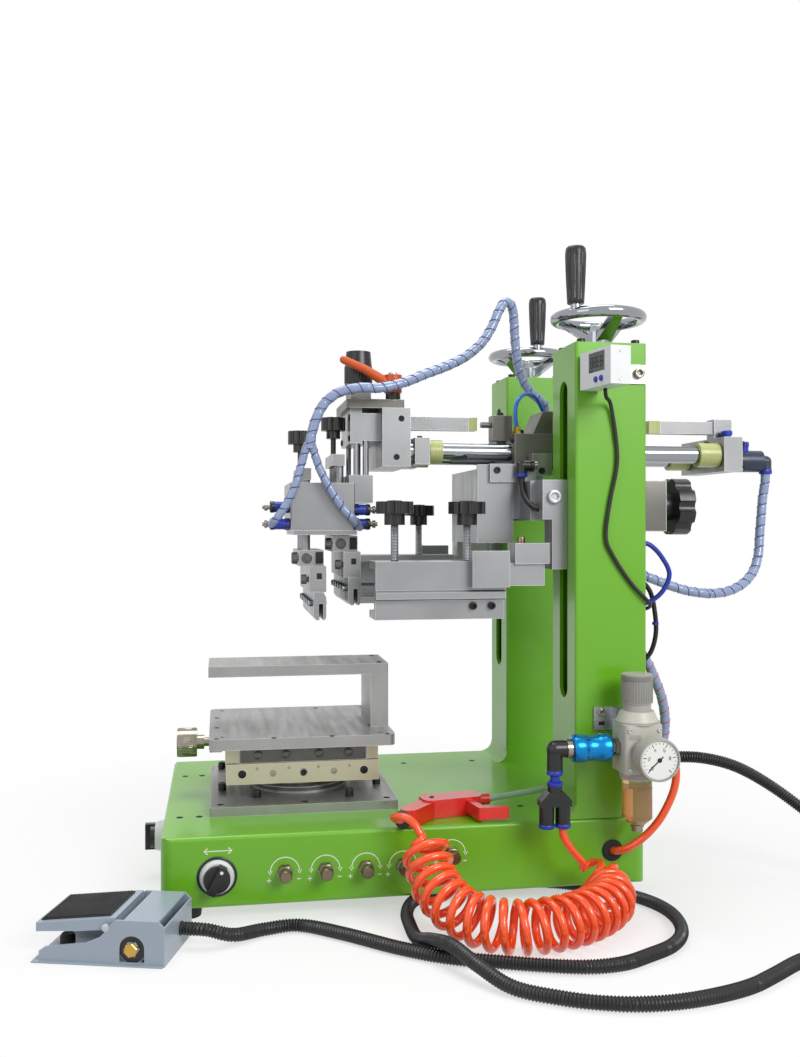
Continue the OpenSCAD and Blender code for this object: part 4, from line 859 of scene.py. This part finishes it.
# A dark disc in the bed's centre hole: painted shade inside the hole
lathe("bed_centre_hole", P(147, 97.4, 122), FRONT, [(3.4, 0), (3.4, 1.2), (0, 1.2)], DARK, "turntable", 24)
bm = bmesh.new()
add_lathe(bm, P(147, 99, 122), FRONT, [(4.4, 0), (4.4, 4.2), (3.3, 4.4), (3.2, 2.2), (0, 2.2)], 28)
for x in (114, 180):
    add_lathe(bm, P(x, 97, 122), FRONT, [(2.4, 0), (3.6, 2.1), (3.4, 2.5), (1.9, 2.6), (1.7, 0.8),
                                         (0, 0.8)], 20)
for x in (97, 131, 163, 197):
    add_lathe(bm, P(x, 95.1, 127.5), FRONT, [(1.6, 0), (1.6, 0.4), (0, 0.6)], 16)
new_piece("bed_screws", bm, NICKEL, "turntable")
sockets("plate_screws", [(60, 145, 94), (97, 106, 94), (197, 95, 94), (60, 250, 94), (234, 145, 94),
                         (234, 250, 94)],
        UP, 9, 8, BLACK_STEEL, "base")
holes("plate_holes", [(58, 82, 94), (236, 82, 94), (58, 262, 94), (236, 262, 94), (147, 80, 94)], UP, 6.5,
      "base")
lathe("ring_scale", P(147, 170, 101), UP, [(54.2, -5), (54.75, -4.6), (54.75, -1.4), (54.2, -1)],
      DARK_STEEL, "base", 96)
bm = bmesh.new()
for x0, x1 in ((63, 77.5), (216.5, 229)):
    for y0, y1 in ((97, 110), (230, 243)):
        add_box(bm, (x0, y0, 133.6), (x1, y1, 151.9), 0.5)
new_piece("table_posts", bm, CREAM, "table")
bm = bmesh.new()
add_box(bm, (79, 95.9, 134), (215, 97, 150.8), 0.2)
add_box(bm, (79, 243.1, 134), (215, 244.2, 150.8), 0.2)
for x in (98, 128, 164, 196):
    add_lathe(bm, P(x, 96, 142), FRONT, [(4.4, 0), (4.4, 2.6), (3.6, 3.2), (0, 3.2)], 20)
new_piece("table_slides", bm, DARK_STEEL, "table")
holes("table_top_holes", [(54, 80, 164), (54, 142, 164), (54, 203, 164), (114, 76, 164), (176, 76, 164),
                          (174, 251, 164), (236, 77, 164), (236, 203, 164)], UP, 5, "table")
sockets("holder_screws", [(235, 130, 235), (235, 190, 235), (225, 130, 164.1)], UP, 6, 0.6, BLACK_STEEL,
        "table")
lathe("table_knob_knurl", P(11.2, 170, 143.5), RIGHT, [(15.6, 0), (16.3, 0.8), (16.3, 19.4), (15.6, 20.2)],
      NICKEL, "table_screw", 192, grip_rings(48, 0.035, 0.7, 19.6, 192))
lathe("table_knob_end", P(10.1, 170, 143.5), LEFT, [(7, 0), (6.4, 0.8), (3.4, 1), (3, 0), (0, 0.2)], STEEL,
      "table_screw", 32)

# Pressure regulator: ribbed knob, rings, screws, bowl bands, gauge rim and dial
REG_X = 475
REG_Y = -35
GAUGE_X = 480
GAUGE_Z = 160.5
MARK_Y = -79.6
lathe("regulator_knob_ribs", P(REG_X, REG_Y, 210), UP,
      [(14.6, 0.2), (15.9, 1), (15.9, 21), (15.5, 21.6), (15.5, 22.4), (15.9, 23), (15.9, 27.6),
       (14.8, 28.8)],
      KNOB_GREY, "base", 180, grip_rings(36, 0.035, 0.9, 21.2, 180))
lathe("regulator_bonnet_ring", P(REG_X, REG_Y, 189.6), UP, [(21.4, 0), (22.4, 0.6), (22.4, 2.4), (21.2, 3)],
      GREY_PLASTIC, "base", 48)
lathe("regulator_bowl_ring", P(REG_X, REG_Y, 134), UP, [(16.6, 0), (17.8, 0.8), (17.8, 5.6), (17, 6.4)],
      GREY_PLASTIC, "base", 96, grip_rings(24, 0.05, 0.7, 5.8, 96))
sockets("regulator_screws", [(459.5, -55, 185), (490.5, -55, 185), (459.5, -55, 145.5)], FRONT, 4.4, 1.6,
        STEEL, "base")
block("regulator_inset", (459, -55.4, 176), (471, -54.8, 181), GREY_PLASTIC, "base", 0.2)
sockets("bracket_screws", [(449, -3, 195)], FRONT, 8, 3.5, NICKEL, "base")
# A thin dark box in the bracket's slot: painted shade inside the slot
bm = bmesh.new()
add_box(bm, (446, -3.2, 181.5), (452.5, -2.9, 185.5), 0.1)
new_piece("bracket_slot", bm, DARK, "base")
lathe("bowl_drain", P(REG_X, REG_Y, 79.4), UP,
      [(3, 0), (5.6, 0.5), (5.6, 4.4), (6.8, 4.8), (6.8, 7), (5, 7.8)], NICKEL, "base", 24)
bands = [(14.6, 93)]
for k in range(9):
    bands += [(15.15, 94.6 + 3.6 * k), (15.4, 95.4 + 3.6 * k), (15.15, 96.2 + 3.6 * k)]
lathe("bowl_bands", P(REG_X, REG_Y, 0), UP, bands, AMBER, "base", 48)
lathe("gauge_rim", P(GAUGE_X, -63, GAUGE_Z), FRONT,
      [(20.9, 0), (21.5, 0.6), (21.5, 15.6), (20.9, 18.2), (19.2, 18.4), (19, 16.6), (0, 16.5)],
      GREY_PLASTIC, "base", 64)
lathe("gauge_dial", P(GAUGE_X, -79.4, GAUGE_Z), FRONT, [(18.9, 0), (18.9, 0.25), (0, 0.3)], DIAL, "base", 64)
bm = bmesh.new()
for k in range(21):
    a = math.radians(225 - 13.5 * k)
    inner = 13.6 if k % 4 == 0 else 15.4
    strip(bm, [(GAUGE_X + r * math.cos(a), GAUGE_Z + r * math.sin(a)) for r in (inner, 17.2)],
          0.34 if k % 4 == 0 else 0.2, MARK_Y, 0.2)
# Figures of the dial, each drawn with some of seven strokes
SEGMENTS = {0: "abcdef", 2: "abged", 4: "fgbc", 6: "afgedc", 8: "abcdefg"}
STROKES = {"a": ((-1, 2), (1, 2)), "b": ((1, 2), (1, 0)), "c": ((1, 0), (1, -2)), "d": ((-1, -2), (1, -2)),
           "e": ((-1, 0), (-1, -2)), "f": ((-1, 2), (-1, 0)), "g": ((-1, 0), (1, 0))}
for k, figure in enumerate((0, 2, 4, 6, 8)):
    a = math.radians(225 - 54 * k)
    cx, cz = GAUGE_X + 10.8 * math.cos(a), GAUGE_Z + 10.8 * math.sin(a)
    for s in SEGMENTS[figure]:
        strip(bm, [(cx + px * 0.8, cz + pz * 0.8) for px, pz in STROKES[s]], 0.22, MARK_Y, 0.2)
hand = math.radians(222)
strip(bm, [(GAUGE_X - 5 * math.cos(hand), GAUGE_Z - 5 * math.sin(hand)),
           (GAUGE_X + 14.5 * math.cos(hand), GAUGE_Z + 14.5 * math.sin(hand))], 0.55, -79.8, 0.35)
add_lathe(bm, P(GAUGE_X, MARK_Y, GAUGE_Z), FRONT, [(2.2, 0), (2.2, 0.8), (0, 1)], 20)
new_piece("gauge_marks", bm, DARK, "base", smooth=False)

# Sliding hand valve: a waisted sleeve between nickel ends
VALVE = [(8.5, 9), (12.6, 9.4), (13.8, 10.6), (14, 12), (14, 20), (13.3, 21.4), (12.7, 22.4), (12.7, 35),
         (13.3, 36), (14, 37.4), (14, 46.4), (13.6, 48), (12.4, 49.2), (9.4, 49.6), (8.6, 49.6)]
valve = lathe("hand_valve_turned", P(455, -35, 165.5), LEFT, VALVE, BLUE_METAL, "base", 64)
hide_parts("hand_valve")
bm = bmesh.new()
add_lathe(bm, P(455, -35, 165.5), LEFT, [(8, -0.4), (9, 0), (9, 5), (7.4, 5.4), (7.4, 9.6)], 6)
add_lathe(bm, P(455, -35, 165.5), LEFT, [(8, 49), (9.4, 50), (9.4, 55.4), (8, 56)], 32)
new_piece("hand_valve_ends", bm, NICKEL, "base")

# Branch piece: release collars and a short tube between its two fittings
bm = bmesh.new()
add_lathe(bm, P(388, -35, 139.5), UP, [(5, 0), (7.6, 0.4), (8.5, 1.4), (8.5, 4.6), (8.2, 5)], 28)
add_lathe(bm, P(388, -35, 129), UP, [(7.8, 0), (8.1, 0.6), (8.1, 3.4), (7, 4.4), (5, 4.6)], 28)
add_lathe(bm, P(388, -35, 132), UP, [(4.75, 0), (4.75, 9)], 20)
for x in (379.5, 396.5):
    add_lathe(bm, P(x, -35, 86.4), UP, [(5, 0), (7.4, 0.4), (8.1, 1.4), (8.1, 4), (7.7, 4.6)], 28)
new_piece("branch_collars", bm, BLUE, "base")

# Air gun: ring at the inlet, nozzle tube with its nut, case screw
handle = Vector((math.cos(math.radians(48)), math.sin(math.radians(48)), 0))
lathe("gun_inlet_ring", P(238, -5, 93.3), handle, [(8.6, -1), (9.2, -0.4), (9.2, 2.8), (8.6, 3.4)], BLACK,
      "base", 32)
barrel = Matrix.Rotation(math.radians(9.7), 4, "Z") @ Matrix.Rotation(math.radians(-4), 4, "Y")
tube_way = barrel @ Vector((1, 0, 0))
gun_turn = Matrix.Rotation(math.radians(9.7), 4, "Z")
muzzle = gun_turn @ Vector((76, 20, 0))
lathe("gun_nozzle", P(268 + muzzle.x, 24 + muzzle.y, 94.3), tube_way,
      [(4.6, -6), (4.6, 2), (3.6, 3), (3.6, 10), (3.35, 10.6), (3.35, 70.6), (2.2, 70.8), (2.2, 66)],
      CLEAR_TUBE, "base", 28)
lathe("gun_nozzle_nut", P(268 + muzzle.x, 24 + muzzle.y, 94.3), tube_way,
      [(4.8, -2), (5.4, -1.4), (5.4, 4), (4.6, 4.8)], BLACK, "base", 6)
screw = gun_turn @ Vector((12, 14, 0))
sockets("gun_screw", [(268 + screw.x, 24 + screw.y, 103.3)], UP, 5, 0.7, BLACK_STEEL, "base")

# Loose tubes behind the near column
tie = smooth_route([(500, 17, 372), (512, 17, 368), (524, 17, 356), (533, 17, 338), (528, 21, 320),
                    (516, 26, 308), (500, 32, 302)], 2.0)
tube("column_blue_tube", tie, 2.6, BLUE, "base", sides=14)
drop = smooth_route([(500, 44, 331), (512, 42, 328), (521, 40, 317), (526, 40, 297), (528, 41, 272),
                     (523, 44, 250), (511, 47, 238), (500, 48, 234)], 2.0)
tube("column_black_tube", drop, 2.6, CABLE, "base", sides=14)
lathe("column_tie", P(527.2, 40.4, 284), DOWN, [(2.8, 0), (3.6, 0.3), (3.6, 3), (2.8, 3.4)], BLUE, "base", 20)

# Pedal: ribbed rubber pad, base plate, hinge screws, barrel with its brass plugs, bumper
foot = Matrix.Translation(P(-106, -67, 0)) @ Matrix.Rotation(math.radians(-16), 4, "Z")


def on_pedal(name, parts, finish, body, bevel=0.3, lean=None):
    """Boxes given in the pedal's own frame, in mm from its toe, turned by lean about its hinge line."""
    bm = bmesh.new()
    for low, high in parts:
        size = (Vector(high) - Vector(low)) / 1000
        mid = (Vector(high) + Vector(low)) / 2000
        made = bmesh.ops.create_cube(bm, size=1, matrix=Matrix.Translation(mid) @ Matrix.Diagonal((*size, 1)))
        edges = list({e for v in made["verts"] for e in v.link_edges})
        bmesh.ops.bevel(bm, geom=edges, offset=bevel / 1000, segments=2, affect="EDGES", profile=0.7)
    bmesh.ops.transform(bm, matrix=foot @ (lean or Matrix.Identity(4)), verts=bm.verts[:])
    return new_piece(name, bm, finish, body)


slope = (Matrix.Translation((0, 0, 0.034)) @ Matrix.Rotation(-math.atan2(7, 70), 4, "Y"))
ribs = [((3, 8, -0.2), (68, 70, 1.2))]
ribs += [((4.2 + 2.6 * k, 9, 1), (5.8 + 2.6 * k, 69, 2.1)) for k in range(24)]
on_pedal("pedal_pad", ribs, RUBBER, "pedal", 0.25, slope)
on_pedal("pedal_plate", [((-2, -3, 0), (119, 81, 1.6))], HAMMER, "base", 0.4)
for y, way in ((0.05, FRONT), (77.95, BACK)):
    out = foot.to_3x3() @ Vector(way)
    tag = "front" if way is FRONT else "back"
    lathe("pedal_hinge_" + tag, foot @ Vector((0.066, y / 1000, 0.033)), out,
          [(3.6, 0), (3.4, 0.9), (2, 1.4), (0, 1.5)], STEEL, "base", 20)
    inside = 1.9 if way is FRONT else 76.1
    lathe("pedal_barrel_" + tag, foot @ Vector((0.09, inside / 1000, 0.015)), out,
          [(12.8, -0.1), (12.8, 0.4), (8.4, 0.9), (0, 0.9)], BLACK, "base", 40)
    lathe("pedal_plug_" + tag, foot @ Vector((0.09, inside / 1000, 0.015)), out,
          [(6.6, 0.6), (6.6, 5.4), (5.8, 6.2), (0, 6.2)], BRASS, "base", 6)
lathe("pedal_bumper", foot @ Vector((0.014, 0.039, 0.003)), UP, [(7, 0), (7, 6), (5.5, 8.5), (0, 9)],
      RUBBER, "base", 24)

# Floor and backdrop
def seen_or_lighting(nt, low):
    """A strength of 1 for what is seen, mirrored or seen through, and low for what lights the object."""
    ray = nt.nodes.new("ShaderNodeLightPath")
    mask = ray.outputs["Is Camera Ray"]
    for kind in ("Is Transmission Ray", "Is Glossy Ray"):
        either = nt.nodes.new("ShaderNodeMath")
        either.operation = "MAXIMUM"
        nt.links.new(mask, either.inputs[0])
        nt.links.new(ray.outputs[kind], either.inputs[1])
        mask = either.outputs["Value"]
    strength = set_inputs(nt.nodes.new("ShaderNodeMapRange"), To_Min=low, To_Max=1.0)
    nt.links.new(mask, strength.inputs["Value"])
    return strength.outputs["Result"]


bm = bmesh.new()
bmesh.ops.create_grid(bm, x_segments=1, y_segments=1, size=6)
floor = new_piece("floor", bm, MARK, None, smooth=False)
paper = bpy.data.materials.new("paper floor")
paper.use_nodes = True
pt = paper.node_tree
sheet = set_inputs(pt.nodes["Principled BSDF"], Base_Color=(0.9, 0.9, 0.9, 1), Roughness=0.8,
                   Specular_IOR_Level=0.1)
fade = pt.nodes.new("ShaderNodeTexGradient")
fade.gradient_type = "SPHERICAL"
spot = pt.nodes.new("ShaderNodeTexCoord")
wide = set_inputs(pt.nodes.new("ShaderNodeMapping"), Scale=(0.9, 0.9, 0.9))
pt.links.new(spot.outputs["Object"], wide.inputs["Vector"])
pt.links.new(wide.outputs["Vector"], fade.inputs["Vector"])
glow = set_inputs(pt.nodes.new("ShaderNodeEmission"), Color=(1, 1, 1, 1))
pt.links.new(seen_or_lighting(pt, 0.45), glow.inputs["Strength"])
# The floor fades from plain paper under the machine to white further out
lift = set_inputs(pt.nodes.new("ShaderNodeMapRange"), From_Min=0.3, From_Max=0.95, To_Min=1.0, To_Max=0.45)
pt.links.new(fade.outputs["Fac"], lift.inputs["Value"])
blend = pt.nodes.new("ShaderNodeMixShader")
pt.links.new(lift.outputs["Result"], blend.inputs["Fac"])
pt.links.new(sheet.outputs["BSDF"], blend.inputs[1])
pt.links.new(glow.outputs["Emission"], blend.inputs[2])
pt.links.new(blend.outputs["Shader"], pt.nodes["Material Output"].inputs["Surface"])
floor.data.materials.clear()
floor.data.materials.append(paper)

world = bpy.data.worlds.new("studio")
bpy.context.scene.world = world
world.use_nodes = True
wt = world.node_tree
background = set_inputs(wt.nodes["Background"], Color=(1, 1, 1, 1))
wt.links.new(seen_or_lighting(wt, 0.32), background.inputs["Strength"])


def softbox(name, at, target, size, power):
    light = bpy.data.lights.new(name, "AREA")
    light.shape = "RECTANGLE"
    light.size, light.size_y = size
    light.energy = power
    lamp = bpy.data.objects.new(name, light)
    bpy.context.scene.collection.objects.link(lamp)
    lamp.location = at
    lamp.rotation_euler = (Vector(target) - Vector(at)).to_track_quat("-Z", "Y").to_euler()


softbox("key light", (1.0, -2.0, 1.5), (0, 0, 0.3), (1.2, 1.0), 40)
softbox("fill light", (-1.5, -1.2, 0.9), (0, 0, 0.3), (1.0, 1.2), 5)
softbox("top light", (-0.1, 0.3, 2.3), (0, 0, 0.2), (1.6, 1.2), 26)

bpy.context.scene.view_settings.view_transform = "Standard"
